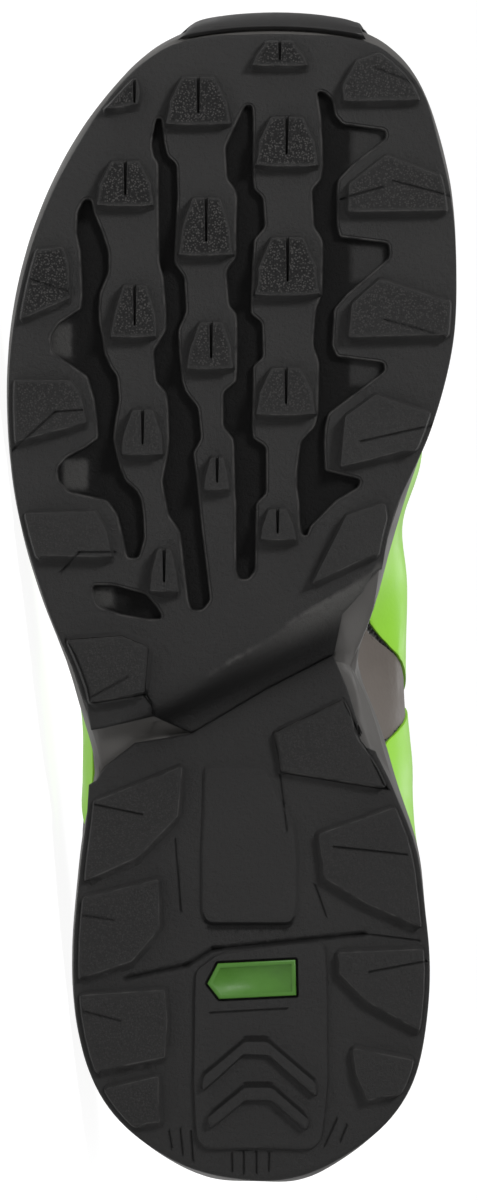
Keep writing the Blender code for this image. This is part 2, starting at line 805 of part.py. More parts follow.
def rubber_piece(name, outline, features, material):
    """A rubber sheet with its tread on the underside and a plain back."""
    outline = counterclockwise(outline)
    loops = []
    levels = [np.zeros(len(outline))]
    for feature in features:
        loops += [feature.outer, feature.inner]
        levels += [
            np.full(len(feature.outer), feature.outer_level),
            np.full(len(feature.inner), feature.inner_level),
        ]
    spots = tread_spots(outline, loops, TREAD_MESH)
    spot_levels = np.zeros(len(spots))
    for feature in features:
        spot_levels[inside(feature.inner, spots)] = feature.inner_level
    level = np.concatenate([*levels, spot_levels])
    plan, faces, origin = triangulated(outline, loops, spots)
    lift = ground(plan[:, 0], plan[:, 1]) + LUG_HEIGHT
    tread = np.column_stack([plan, lift - level[origin]])
    back_spots = tread_spots(outline, [], TREAD_MESH * 1.5)
    back_plan, back_faces, back_origin = triangulated(outline, [], back_spots)
    back = np.column_stack([back_plan, ground(back_plan[:, 0], back_plan[:, 1]) + LUG_HEIGHT + RUBBER])
    count = len(outline)
    at_front = {int(o): i for i, o in enumerate(origin)}
    at_back = {int(o): i + len(tread) for i, o in enumerate(back_origin)}
    sides = [
        (at_front[i], at_front[(i + 1) % count], at_back[(i + 1) % count], at_back[i])
        for i in range(count)
    ]
    shifted = [tuple(i + len(tread) for i in face) for face in back_faces]
    return make_object(name, np.concatenate([tread, back]), faces + shifted + sides, material)


def parts_to_plan(rows):
    return np.array([(r.along * LENGTH / ALONG_PARTS, r.across * BALL_WIDTH / ACROSS_PARTS) for r in rows])


def span_loop(rows):
    """The outline of a groove or step that is listed by its left and right edges."""
    left = [CutRow(r.along, r.left) for r in rows]
    right = [CutRow(r.along, r.right) for r in rows]
    return parts_to_plan(left + right[::-1])


def column_loop(lug):
    """A lug that is wide at its rear and narrow in front."""
    shoulder = lug.rear + 0.48 * (lug.front - lug.rear)
    half = lug.wide / 2
    nose = lug.narrow / 2
    return parts_to_plan(
        [
            CutRow(lug.rear, lug.across - half),
            CutRow(lug.rear, lug.across + half),
            CutRow(shoulder, lug.across + half * 0.94),
            CutRow(lug.front, lug.across + nose),
            CutRow(lug.front, lug.across - nose),
            CutRow(shoulder, lug.across - half * 0.94),
        ]
    )


def around_at(along_parts, side):
    """The place around the rubber's edge at a given length from the heel."""
    x = along_parts * LENGTH / ALONG_PARTS
    share = (x - HEEL_START) / (LENGTH - HEEL_START - TOE_SETBACK)
    turn = math.acos(1 - 2 * min(max(share, 0), 1)) / math.pi
    return turn if side < 0 else 2 - turn


def edge_lug_loop(lug, side):
    """A lug that reaches from the rubber's edge inwards."""
    rear = around_at(lug.rear_out, side)
    front = around_at(lug.front_out, side)
    rim = inset_edge(rubber_edge, np.linspace(rear, front, 5), RUBBER_INSET + 0.0007)
    inner = parts_to_plan(
        [
            CutRow(lug.front_in, lug.front_reach),
            CutRow(lug.nose, lug.nose_reach),
            CutRow(lug.rear_in, lug.rear_reach),
        ]
    )
    return np.concatenate([rim, inner])


def clear_of_edge(loop, outline):
    """The loop, with any side that comes too near the rubber's edge moved in until it is clear."""
    loop = loop.copy()
    middle = loop.mean(axis=0)
    shares = np.linspace(0, 1, 12)[:, None]
    for i in list(range(len(loop))) * 2:
        j = (i + 1) % len(loop)
        while True:
            marks = loop[i] + (loop[j] - loop[i]) * shares
            if inside(outline, marks).all() and clearance(outline, marks).min() > CUT_CLEARANCE:
                break
            loop[i] += (middle - loop[i]) * 0.02
            loop[j] += (middle - loop[j]) * 0.02
    return loop


def lugs(loops):
    return [Feature(loop, LUG_DRAFT, 0.0, LUG_HEIGHT) for loop in loops]


def edge_lugs(table, side, outline):
    return lugs([clear_of_edge(edge_lug_loop(lug, side), outline) for lug in table])


def front_rubber():
    start = around_at(FRONT_EDGE_OUTER, -1)
    end = around_at(FRONT_EDGE_INNER, 1)
    edge = inset_edge(rubber_edge, np.linspace(start, end, TREAD_AROUND), RUBBER_INSET)
    outline = np.concatenate([edge, parts_to_plan(FRONT_RUBBER_REAR)])
    grooves = (OUTER_GROOVE, MIDDLE_OUTER_GROOVE, MIDDLE_INNER_GROOVE, INNER_GROOVE, OUTER_NOTCH)
    features = [Feature(span_loop(rows), GROOVE_DRAFT, 0.0, WEB - RUBBER) for rows in grooves]
    features += lugs([column_loop(lug) for lug in COLUMN_LUGS])
    features += edge_lugs(INNER_EDGE_LUGS, 1, outline)
    features += edge_lugs(OUTER_EDGE_LUGS, -1, outline)
    return outline, features


def heel_rubber():
    start = around_at(HEEL_EDGE_INNER, 1)
    end = around_at(HEEL_EDGE_OUTER, -1) + 2
    edge = inset_edge(rubber_edge, np.linspace(start, end, TREAD_AROUND * 2 // 3), RUBBER_INSET)
    outline = np.concatenate([edge, parts_to_plan(HEEL_RUBBER_FRONT)])
    recess = parts_to_plan(BADGE_RECESS)
    features = [
        Feature(span_loop(HEEL_DECK), LUG_DRAFT, 0.0, DECK_HEIGHT),
        Feature(span_loop(PLATEAU), PLATEAU_DRAFT, 0.0, DECK_HEIGHT),
        Feature(recess, GROOVE_DRAFT, DECK_HEIGHT, BADGE_FLOOR),
    ]
    for rows in (FRONT_CHEVRON, REAR_CHEVRON):
        features.append(Feature(parts_to_plan(rows), LUG_DRAFT, DECK_HEIGHT, CHEVRON_HEIGHT))
    features += edge_lugs(INNER_HEEL_LUGS, 1, outline)
    features += edge_lugs(OUTER_HEEL_LUGS, -1, outline)
    return outline, features


def slab(name, outline, bottom, top, spacing, material):
    """A closed solid between two height functions over one outline."""
    outline = counterclockwise(outline)
    plan, faces, origin = triangulated(outline, [], grid_spots(outline, spacing, []))
    low = np.column_stack([plan, bottom(plan[:, 0], plan[:, 1])])
    high = np.column_stack([plan, top(plan[:, 0], plan[:, 1])])
    place = {int(o): i for i, o in enumerate(origin)}
    count = len(outline)
    shift = len(plan)
    sides = [
        (place[i], place[(i + 1) % count], place[(i + 1) % count] + shift, place[i] + shift)
        for i in range(count)
    ]
    shifted = [tuple(i + shift for i in face) for face in faces]
    return make_object(name, np.concatenate([low, high]), faces + shifted + sides, material)


def ringed(name, rings, bottom_cap, top_cap, bottom_loops, bottom_spots, spacing, material):
    """A solid from closed rings, with each end closed by a sheet of the given height."""
    count = len(rings[0])
    points = [np.asarray(ring) for ring in rings]
    faces = []
    for i in range(len(rings) - 1):
        faces += ring_faces(i * count, (i + 1) * count, count)
    total = count * len(rings)
    top = points[-1][:, :2]
    caps = (
        (0, bottom_cap, bottom_loops, bottom_spots),
        (len(rings) - 1, top_cap, [], grid_spots(top, spacing, [])),
    )
    for ring_index, height, loops, spots in caps:
        outline = points[ring_index][:, :2]
        plan, cap_faces, origin = triangulated(outline, loops, spots)
        place = {}
        extra = []
        for i, source in enumerate(origin):
            if 0 <= source < count:
                place[i] = ring_index * count + int(source)
            else:
                place[i] = total + len(extra)
                extra.append((plan[i, 0], plan[i, 1], float(height(plan[i, 0], plan[i, 1]))))
        faces += [tuple(place[i] for i in face) for face in cap_faces]
        if extra:
            points.append(np.array(extra))
            total += len(extra)
    return make_object(name, np.concatenate(points), faces, material)


def make_midsole(rubber_outlines, material):
    around = np.arange(AROUND) * 2 / AROUND
    rings = [foam_side_point(around, np.full(AROUND, row.rise)) for row in SIDE_ROWS]
    rings.append(foam_side_point(around, np.ones(AROUND)))
    inner = inset_edge(foam_edge, around, RIM_INSET + RIM_WIDTH)
    rings.append(np.column_stack([inner, rim_height(inner[:, 0])]))
    rings.append(np.column_stack([inner, bed_height(inner[:, 0])]))

    def underside(x, y):
        return ground(x, y) + LUG_HEIGHT + RUBBER + SEAT_GAP

    def bed(x, y):
        return bed_height(x)

    loops = [counterclockwise(outline) for outline in rubber_outlines]
    spots = np.concatenate([tread_spots(loop, [], TREAD_MESH * 1.5) for loop in loops])
    return ringed("midsole", rings, underside, bed, loops, spots, TREAD_MESH * 1.5, material)


def sheet_solid(name, outer, inner, closed_around, material):
    """A closed solid between two grids of points, rows by columns."""
    rows, columns = outer.shape[:2]
    points = np.concatenate([outer.reshape(-1, 3), inner.reshape(-1, 3)])
    shift = rows * columns
    faces = []
    last = columns if closed_around else columns - 1
    for r in range(rows - 1):
        for c in range(last):
            d = (c + 1) % columns
            quad = (r * columns + c, r * columns + d, (r + 1) * columns + d, (r + 1) * columns + c)
            faces.append(quad)
            faces.append(tuple(i + shift for i in quad[::-1]))
    for r in (0, rows - 1):
        for c in range(last):
            d = (c + 1) % columns
            faces.append((r * columns + c, r * columns + d, r * columns + d + shift, r * columns + c + shift))
    if not closed_around:
        for c in (0, columns - 1):
            for r in range(rows - 1):
                low, high = r * columns + c, (r + 1) * columns + c
                faces.append((low, high, high + shift, low + shift))
    return make_object(name, points, faces, material)


def make_upper(material):
    around = np.arange(AROUND) * 2 / AROUND
    levels = wall_levels()
    a, v = np.meshgrid(around, levels)
    outer = upper_point(a, v)
    inner = upper_point(a, v, -wall_thickness(a, v)[..., None])
    inner[0, :, 2] = outer[0, :, 2]
    crown = (outer[-1] + inner[-1]) / 2
    crown[:, 2] += 0.25 * np.linalg.norm(outer[-1] - inner[-1], axis=1)
    outer = np.concatenate([outer, crown[None]])
    inner = np.concatenate([inner, crown[None]])
    rows, columns = outer.shape[:2]
    points = np.concatenate([outer.reshape(-1, 3), inner[:-1].reshape(-1, 3)])
    shift = rows * columns
    faces = []
    for r in range(rows - 1):
        faces += ring_faces(r * columns, (r + 1) * columns, columns)
    for r in range(rows - 2):
        faces += ring_faces(shift + r * columns, shift + (r + 1) * columns, columns)
    faces += ring_faces(shift + (rows - 2) * columns, (rows - 1) * columns, columns)
    faces += ring_faces(0, shift, columns)
    return make_object("upper", points, faces, material)


def make_insole(material):
    around = np.arange(AROUND) * 2 / AROUND
    inset = RIM_INSET + RIM_WIDTH + SEAT_GAP + UPPER_WALL + 0.0006
    outline = inset_edge(foam_edge, around, inset)
    return slab(
        "insole",
        outline,
        lambda x, y: bed_height(x) + 2 * SEAT_GAP,
        lambda x, y: bed_height(x) + 2 * SEAT_GAP + INSOLE_THICKNESS,
        TREAD_MESH * 1.5,
        material,
    )


def stations(start, end):
    """Places around from start to end that keep to the upper's own columns."""
    step = 2 / AROUND
    first = math.floor(start / step + 0.2) + 1
    last = math.ceil(end / step - 0.2) - 1
    return np.array([start, *[k * step for k in range(first, last + 1)], end])


def strip(name, rows, start, end, across, material):
    """An overlay that runs round the upper between a lower and an upper level."""
    keys = [key for row in rows for key in (row.turn, 2 - row.turn, 2 + row.turn) if start < key < end]
    keep = [a for a in stations(start, end)[1:-1] if all(abs(a - key) > 0.24 / AROUND for key in keys)]
    marks = np.array(sorted([start, end, *keep, *keys]))
    around = [marks[0]]
    for low, high in zip(marks, marks[1:]):
        ends = np.array([low, high])
        turns = np.minimum(np.mod(ends, 2), 2 - np.mod(ends, 2))
        edges = [np.interp(turns, values(rows, "turn"), values(rows, edge)) for edge in ("low", "high")]
        climb = max(abs(edge[1] - edge[0]) for edge in edges)
        around += list(np.linspace(low, high, 1 + max(1, math.ceil(climb / SLANT_STEP)))[1:])
    around = np.array(around)
    turn = np.minimum(np.mod(around, 2), 2 - np.mod(around, 2))
    lows = np.interp(turn, values(rows, "turn"), values(rows, "low"))
    highs = np.interp(turn, values(rows, "turn"), values(rows, "high"))
    levels = lows[None] + (highs - lows)[None] * np.linspace(0, 1, across)[:, None]
    places = np.broadcast_to(around, levels.shape)
    outer = faceted_point(places, levels, OVERLAY_LIFT + OVERLAY)
    inner = faceted_point(places, levels, OVERLAY_LIFT)
    return sheet_solid(name, outer, inner, False, material)


def side_strip(name, rows, side, across, material):
    """An overlay on one side of the upper."""
    start, end = rows[0].turn, rows[-1].turn
    if side > 0:
        start, end = 2 - end, 2 - start
    return strip(name, rows, start, end, across, material)


def make_bumper(material):
    """Rubber that wraps from the tread over the foam's toe and up the upper."""
    start = BUMPER_ROWS[0].turn
    around = stations(start, 2 - start)
    turn = np.minimum(around, 2 - around)
    high = np.interp(turn, values(BUMPER_ROWS, "turn"), values(BUMPER_ROWS, "high"))
    widest = SIDE_ROWS[2].rise
    rows = []
    for rise in (BUMPER_ROWS[0].low, SIDE_ROWS[1].rise, widest, SIDE_ROWS[6].rise, SIDE_ROWS[7].rise, 1.0):
        point = foam_side_point(around, np.full(len(around), rise))
        if rise == SIDE_ROWS[6].rise:
            point[:, :2] = foam_side_point(around, np.full(len(around), widest))[:, :2]
        rows.append(point)
    for share in (0.55, 1.0):
        rows.append(upper_point(around, CUP_LEVEL + (high - CUP_LEVEL) * share))
    path = np.array(rows)
    normal = np.cross(np.gradient(path, axis=1), np.gradient(path, axis=0))
    normal /= np.linalg.norm(normal, axis=-1, keepdims=True)
    inner = path + normal * OVERLAY_LIFT
    outer = path + normal * (OVERLAY_LIFT + BUMPER)
    return sheet_solid("toe_bumper", outer, inner, False, material)


def make_tongue(upper, material):
    """A curved pad under the throat that keeps below the inside of the upper."""
    tree = upper_tree(upper)
    keys = -values(TONGUE_ROWS, "along")
    along = -np.linspace(keys[0], keys[-1], 13)
    half = WIDTH_SCALE * smooth(keys, values(TONGUE_ROWS, "half"), -along)
    height = HEIGHT_SCALE * smooth(keys, values(TONGUE_ROWS, "height"), -along)
    across = np.linspace(-1, 1, 9)
    top = np.empty((len(along), len(across), 3))
    for i, x in enumerate(along * LENGTH_SCALE):
        for j, q in enumerate(across):
            y = q * half[i]
            z = height[i] - TONGUE_DROP * (y / (WIDTH_SCALE * 26)) ** 2
            if i == 0:
                z = ceiling(tree, x, y, 0.0) - TONGUE_SEAM
            else:
                z = min(z, ceiling(tree, x, y, TONGUE_REACH) - TONGUE_CLEARANCE)
            top[i, j] = (x, y, z)
    bottom = top.copy()
    bottom[..., 2] -= TONGUE_THICKNESS
    return sheet_solid("tongue", top, bottom, False, material)


def upper_tree(upper):
    work = bmesh.new()
    work.from_mesh(upper.data)
    bmesh.ops.triangulate(work, faces=work.faces)
    tree = BVHTree.FromBMesh(work)
    work.free()
    return tree


def ceiling(tree, x, y, reach):
    """The lowest height that the upper's inside has over a place, and near it."""
    least = LENGTH
    for dx in (-reach, 0, reach):
        for dy in (-reach, 0, reach):
            hit = tree.ray_cast(Vector((x + dx, y + dy, 0.55 * TOPLINE_HEIGHT)), Vector((0, 0, 1)))
            if hit[0] is not None:
                least = min(least, hit[0].z)
    return least


def eyelet(turn, side):
    around = turn if side < 0 else 2 - turn
    return upper_point(np.array(around), np.array(LACE_LEVEL))


def bar(start, end, width):
    """A straight bar in plan, its long sides cut into short steps."""
    start, end = np.array(start[:2]), np.array(end[:2])
    way = (end - start) / np.linalg.norm(end - start)
    aside = np.array([-way[1], way[0]]) * width / 2
    start, end = start - way * width * 0.45, end + way * width * 0.45
    steps = np.linspace(0, 1, 6)[:, None]
    line = start + (end - start) * steps
    return np.concatenate([line - aside, line[::-1] + aside])


def make_lace(below, material):
    """The lace's crossings as one solid that lies over the tongue and the eyestay."""
    work = bmesh.new()
    for other in below:
        work.from_mesh(other.data)
    tree = BVHTree.FromBMesh(work)
    work.free()
    bars = [bar(eyelet(LACE_TURNS[-1], -1), eyelet(LACE_TURNS[-1], 1), LACE_WIDTH)]
    for rear, front in zip(LACE_TURNS, LACE_TURNS[1:]):
        for side in (-1, 1):
            bars.append(bar(eyelet(rear, side), eyelet(front, -side), LACE_WIDTH))
    points = np.concatenate(bars)
    size = len(bars[0])
    polygons = [tuple(range(i * size, (i + 1) * size)) for i in range(len(bars))]
    scaled = [Vector((x * 1000, y * 1000)) for x, y in points]
    found = delaunay_2d_cdt(scaled, [], polygons, 1, 0.02)
    plan = np.array([(v.x / 1000, v.y / 1000) for v in found[0]])
    faces = [tuple(f) for f in found[2]]
    bottom = np.array([roof(tree, x, y) + LACE_LIFT for x, y in plan])
    low = np.column_stack([plan, bottom])
    high = np.column_stack([plan, bottom + LACE_THICKNESS])
    directed = {(f[i], f[(i + 1) % len(f)]) for f in faces for i in range(len(f))}
    rim = [edge for edge in directed if edge[::-1] not in directed]
    shift = len(plan)
    sides = [(b, a, a + shift, b + shift) for a, b in rim]
    shifted = [tuple(i + shift for i in face[::-1]) for face in faces]
    return make_object("lace", np.concatenate([low, high]), faces + shifted + sides, material)


def roof(tree, x, y):
    """The greatest height of what lies below the lace, near a place in plan."""
    most = 0.0
    for k in range(9):
        angle = k * math.pi / 4
        reach = 0 if k == 8 else LACE_REACH
        place = Vector((x + reach * math.cos(angle), y + reach * math.sin(angle), LENGTH))
        hit = tree.ray_cast(place, Vector((0, 0, -1)))
        if hit[0] is not None:
            most = max(most, hit[0].z)
    return most


def resting_matrix(objects):
    """The turn that lays the shoe on its outer side, with its box centred over the origin."""
    work = bmesh.new()
    weight = 0.0
    middle = np.zeros(3)
    for made in objects:
        points = np.array([v.co for v in made.data.vertices])
        corners = points[np.array([tuple(p.vertices) for p in made.data.polygons])]
        parts = np.einsum("ij,ij->i", corners[:, 0], np.cross(corners[:, 1], corners[:, 2])) / 6
        weight += parts.sum()
        middle += (corners.sum(axis=1) / 4 * parts[:, None]).sum(axis=0)
        for p in points:
            work.verts.new(p)
    middle /= weight
    bmesh.ops.convex_hull(work, input=work.verts)
    best = None
    for face in work.faces:
        corners = np.array([v.co for v in face.verts])
        normal = np.cross(corners[1] - corners[0], corners[2] - corners[0])
        size = np.linalg.norm(normal)
        if size < 1e-9:
            continue
        normal = normal / size
        if (corners[0] - middle) @ normal < 0:
            normal = -normal
        if normal[1] > -0.5:
            continue
        foot = middle + normal * ((corners[0] - middle) @ normal)
        turns = [np.cross(corners[(i + 1) % 3] - corners[i], foot - corners[i]) @ normal for i in range(3)]
        rolls_on = min(turns) * max(turns) < 0
        if best is None or (rolls_on, normal[1]) < best[:2]:
            best = (rolls_on, normal[1], normal)
    work.free()
    up = -best[2]
    ahead = np.array([0.0, 0.0, 1.0]) - up * up[2]
    ahead /= np.linalg.norm(ahead)
    side = np.cross(ahead, up)
    turn = np.array([side, ahead, up])
    every = np.concatenate([np.array([v.co for v in made.data.vertices]) for made in objects]) @ turn.T
    low, high = every.min(axis=0), every.max(axis=0)
    shift = np.array([-(low[0] + high[0]) / 2, -(low[1] + high[1]) / 2, -low[2]])
    rows = [[*turn[i], shift[i]] for i in range(3)]
    return Matrix([*rows, [0, 0, 0, 1]])


def main():
    for old in list(bpy.data.objects):
        bpy.data.objects.remove(old, do_unlink=True)
    rubber = plastic("black_rubber", (0.022, 0.022, 0.023), 0.62)
    foam = plastic("grey_foam", (0.30, 0.29, 0.27), 0.70)
    cloth = plastic("black_mesh", (0.018, 0.018, 0.020), 0.85)
    green = plastic("green_film", (0.27, 0.57, 0.08), 0.50)
    bright = plastic("green_rubber", (0.07, 0.28, 0.05), 0.50)
    taupe = plastic("taupe_film", (0.16, 0.14, 0.12), 0.60)
    inside_foam = plastic("dark_insole", (0.05, 0.05, 0.05), 0.80)
    cord = plastic("black_cord", (0.02, 0.02, 0.02), 0.70)

    front_outline, front_features = front_rubber()
    heel_outline, heel_features = heel_rubber()
    parts = [
        rubber_piece("outsole_forefoot", front_outline, front_features, rubber),
        rubber_piece("outsole_heel", heel_outline, heel_features, rubber),
    ]

    def badge_back(x, y):
        return ground(x, y) + LUG_HEIGHT - BADGE_FLOOR - 0.0002

    def badge_front(x, y):
        return ground(x, y) + LUG_HEIGHT - BADGE_TOP

    badge = shrink(parts_to_plan(BADGE_RECESS), GROOVE_DRAFT + BADGE_GAP)
    parts.append(slab("heel_badge", badge, badge_front, badge_back, TREAD_MESH, bright))
    parts.append(make_midsole([front_outline, heel_outline], foam))
    upper = make_upper(cloth)
    parts.append(upper)
    parts.append(make_insole(inside_foam))
    parts.append(make_bumper(rubber))
    parts.append(side_strip("green_outer", OUTER_GREEN_ROWS, -1, 6, green))
    parts.append(side_strip("green_inner_rear", INNER_GREEN_REAR_ROWS, 1, 6, green))
    parts.append(side_strip("saddle_inner", INNER_SADDLE_ROWS, 1, 7, taupe))
    parts.append(side_strip("green_inner_front", INNER_GREEN_FRONT_ROWS, 1, 7, green))
    reach = COUNTER_ROWS[-1].turn
    parts.append(strip("heel_counter", COUNTER_ROWS, 2 - reach, 2 + reach, 5, taupe))
    eyestay = strip("eyestay", EYESTAY_ROWS, EYESTAY_ROWS[0].turn, 2 - EYESTAY_ROWS[0].turn, 3, taupe)
    parts.append(eyestay)
    tongue = make_tongue(upper, cloth)
    parts.append(tongue)
    parts.append(make_lace([upper, eyestay, tongue], cord))
    matrix = resting_matrix(parts)
    for made in parts:
        made.data.transform(matrix)
        made.data.update()


main()
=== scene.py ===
"""The looks of a trail running shoe for the right foot, lying on its outer side.

Pieces are shaped in the shoe's own upright frame: x runs from the heel's tip to the toe,
y towards the inner side and z away from the ground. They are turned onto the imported
model as the last step of each piece.
"""

import math
from collections import namedtuple

import bmesh
import bpy
import numpy as np
from mathutils import Matrix, Vector, noise
from mathutils.bvhtree import BVHTree
from mathutils.geometry import delaunay_2d_cdt


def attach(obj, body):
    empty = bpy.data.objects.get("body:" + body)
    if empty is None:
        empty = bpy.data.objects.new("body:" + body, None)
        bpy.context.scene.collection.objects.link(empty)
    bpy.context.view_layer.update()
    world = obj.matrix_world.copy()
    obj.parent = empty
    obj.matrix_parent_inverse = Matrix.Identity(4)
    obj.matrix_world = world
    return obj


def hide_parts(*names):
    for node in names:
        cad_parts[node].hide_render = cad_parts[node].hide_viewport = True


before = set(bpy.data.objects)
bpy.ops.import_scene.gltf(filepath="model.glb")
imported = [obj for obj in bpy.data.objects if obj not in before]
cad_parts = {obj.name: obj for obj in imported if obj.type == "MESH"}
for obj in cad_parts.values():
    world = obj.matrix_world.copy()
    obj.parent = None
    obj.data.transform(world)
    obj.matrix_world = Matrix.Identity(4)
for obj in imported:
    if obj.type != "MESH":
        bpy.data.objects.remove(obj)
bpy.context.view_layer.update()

# Sizes in metres.
MM = 0.001
WELD = 2e-6
TREAD_LEAN = math.radians(2.381)
SOLE_TURN = math.radians(6.521)
HEEL_TIP = Vector((0.149817, -0.059417, 0.040615))
PHOTO_HEIGHT = 0.3046
PHOTO_CENTRE = Vector((0.1508, -0.0028, 0.0))
CAMERA_DISTANCE = 3.0
SENSOR = 36.0


def shoe_matrix():
    """Where the shoe's own frame lies in the world."""
    up = Vector((0, math.sin(TREAD_LEAN), math.cos(TREAD_LEAN)))
    away = Vector((0, math.cos(TREAD_LEAN), -math.sin(TREAD_LEAN)))
    heelwards = Vector((1, 0, 0))
    ahead = up * math.sin(SOLE_TURN) - heelwards * math.cos(SOLE_TURN)
    inner = up * math.cos(SOLE_TURN) + heelwards * math.sin(SOLE_TURN)
    matrix = Matrix((ahead, inner, away)).transposed().to_4x4()
    matrix.translation = HEEL_TIP
    return matrix


TO_WORLD = shoe_matrix()
TO_SHOE = TO_WORLD.inverted()


# Shader helpers

def add(tree, kind, settings=None, inputs=None):
    node = tree.nodes.new(kind)
    for key, value in (settings or {}).items():
        setattr(node, key, value)
    for key, value in (inputs or {}).items():
        if isinstance(value, bpy.types.NodeSocket):
            tree.links.new(value, node.inputs[key])
        else:
            node.inputs[key].default_value = value
    return node


def shader_of(name, roughness, sockets=None):
    material = bpy.data.materials.new(name)
    material.use_nodes = True
    tree = material.node_tree
    shader = tree.nodes["Principled BSDF"]
    shader.inputs["Roughness"].default_value = roughness
    for key, value in (sockets or {}).items():
        shader.inputs[key].default_value = value
    place = add(tree, "ShaderNodeTexCoord").outputs["Object"]
    return material, tree, shader, place


def cloud(tree, place, scale, detail=3.0, roughness=0.55):
    inputs = {"Vector": place, "Scale": scale, "Detail": detail, "Roughness": roughness}
    return add(tree, "ShaderNodeTexNoise", None, inputs).outputs["Fac"]


def cells(tree, place, scale, feature="F1"):
    inputs = {"Vector": place, "Scale": scale}
    return add(tree, "ShaderNodeTexVoronoi", {"feature": feature}, inputs).outputs["Distance"]


def math_node(tree, operation, first, second=0.0):
    return add(tree, "ShaderNodeMath", {"operation": operation}, {0: first, 1: second}).outputs[0]


def span(tree, value, low, high, new_low=0.0, new_high=1.0):
    inputs = {"Value": value, "From Min": low, "From Max": high, "To Min": new_low, "To Max": new_high}
    return add(tree, "ShaderNodeMapRange", {"interpolation_type": "SMOOTHSTEP"}, inputs).outputs["Result"]


def blend_colour(tree, factor, first, second):
    node = add(tree, "ShaderNodeMix", {"data_type": "RGBA"})
    for socket, value in ((0, factor), (6, first), (7, second)):
        if isinstance(value, bpy.types.NodeSocket):
            tree.links.new(value, node.inputs[socket])
        else:
            node.inputs[socket].default_value = value if socket == 0 else (*value, 1)
    return node.outputs[2]


def paint(tree, shader, colour):
    tree.links.new(colour, shader.inputs["Base Color"])


def raise_bump(tree, shader, height, depth, strength=1.0, under=None):
    inputs = {"Height": height, "Distance": depth, "Strength": strength}
    if under is not None:
        inputs["Normal"] = under
    normal = add(tree, "ShaderNodeBump", None, inputs).outputs["Normal"]
    tree.links.new(normal, shader.inputs["Normal"])
    return normal


def vary_roughness(tree, shader, factor, low, high):
    tree.links.new(span(tree, factor, 0.3, 0.7, low, high), shader.inputs["Roughness"])


# Materials

def outsole_rubber():
    """Moulded black rubber: a fine grain all over, dusty pebbles where a lug meets the ground, painted highlights
    along edges and painted shade in hollows.
    """
    material, tree, shader, place = shader_of("outsole_rubber", 0.6, {"Specular IOR Level": 0.16})
    broad = cloud(tree, place, 45.0)
    fine = cloud(tree, place, 1100.0, 4.0)
    pebbled = add(tree, "ShaderNodeAttribute", {"attribute_name": "pebbled"}).outputs["Fac"]
    sunken = add(tree, "ShaderNodeAttribute", {"attribute_name": "sunken"}).outputs["Fac"]
    worn = add(tree, "ShaderNodeAttribute", {"attribute_name": "worn"}).outputs["Fac"]
    pale = add(tree, "ShaderNodeAttribute", {"attribute_name": "pale"}).outputs["Fac"]
    ahead = span(tree, add(tree, "ShaderNodeSeparateXYZ", None, {0: place}).outputs["X"], 0.035, -0.035)
    at_heel = blend_colour(tree, broad, (0.0120, 0.0117, 0.0118), (0.0190, 0.0186, 0.0183))
    at_front = blend_colour(tree, broad, (0.0150, 0.0147, 0.0148), (0.0240, 0.0236, 0.0232))
    plain = blend_colour(tree, ahead, at_heel, at_front)
    # Painted highlights along the grooves' lips, the lugs' top edges and the waist's edge, broken up by a cloud.
    highlight_streaks = math_node(tree, "MULTIPLY", worn, span(tree, cloud(tree, place, 260.0), 0.35, 0.6))
    faced = blend_colour(tree, math_node(tree, "MULTIPLY", pebbled, 0.92), plain, (0.0044, 0.0043, 0.0043))
    edged = blend_colour(tree, highlight_streaks, faced, (0.060, 0.058, 0.056))
    # The waist's front wall in the foam's paler grey; the painted pools of light on the outer grooves use it too.
    washed = blend_colour(tree, pale, edged, (0.050, 0.049, 0.047))
    # Painted shade: darkest in the grooves, the pressed lines, the folds and the waist's valley.
    grey = blend_colour(tree, sunken, washed, (0.0040, 0.0039, 0.0039))
    speck = span(tree, cells(tree, place, 1700.0), 0.54, 0.14)
    dusty = math_node(tree, "MULTIPLY", math_node(tree, "MULTIPLY", speck, pebbled), 0.75)
    paint(tree, shader, blend_colour(tree, dusty, grey, (0.056, 0.054, 0.052)))
    vary_roughness(tree, shader, broad, 0.50, 0.68)
    # Less shine where shade is painted.
    tree.links.new(span(tree, sunken, 0.1, 0.9, 0.16, 0.09), shader.inputs["Specular IOR Level"])
    rough = raise_bump(tree, shader, cloud(tree, place, 640.0, 6.0, 0.8), 0.00090, 0.9)
    grain = raise_bump(tree, shader, fine, 0.00005, 0.6, rough)
    lumps = math_node(tree, "MULTIPLY", speck, pebbled)
    raise_bump(tree, shader, lumps, 0.00012, 0.6, grain)
    return material


def midsole_foam():
    """Grey moulded foam with a fine skin of pores."""
    material, tree, shader, place = shader_of("midsole_foam", 0.62, {"Specular IOR Level": 0.35})
    broad = cloud(tree, place, 60.0)
    paint(tree, shader, blend_colour(tree, broad, (0.047, 0.045, 0.043), (0.066, 0.063, 0.060)))
    pores = span(tree, cells(tree, place, 1900.0), 0.1, 0.5)
    vary_roughness(tree, shader, broad, 0.55, 0.72)
    raise_bump(tree, shader, pores, 0.00004, 0.5)
    return material


def green_insert():
    """Glossy green moulded rubber of the heel's plate."""
    material, tree, shader, place = shader_of("green_insert", 0.5, {"Specular IOR Level": 0.25})
    broad = cloud(tree, place, 300.0)
    paint(tree, shader, blend_colour(tree, broad, (0.031, 0.096, 0.010), (0.043, 0.126, 0.015)))
    vary_roughness(tree, shader, broad, 0.42, 0.58)
    raise_bump(tree, shader, cloud(tree, place, 900.0, 4.0, 0.7), 0.00012, 0.6)
    return material


def film(name, dark, light, low, high, grain_scale, grain_depth):
    """A thin synthetic skin welded onto the upper."""
    material, tree, shader, place = shader_of(name, low, {"Specular IOR Level": 0.24})
    broad = cloud(tree, place, 90.0)
    paint(tree, shader, blend_colour(tree, broad, dark, light))
    vary_roughness(tree, shader, broad, low, high)
    pits = cells(tree, place, grain_scale, "SMOOTH_F1")
    raise_bump(tree, shader, pits, grain_depth, 0.7)
    return material


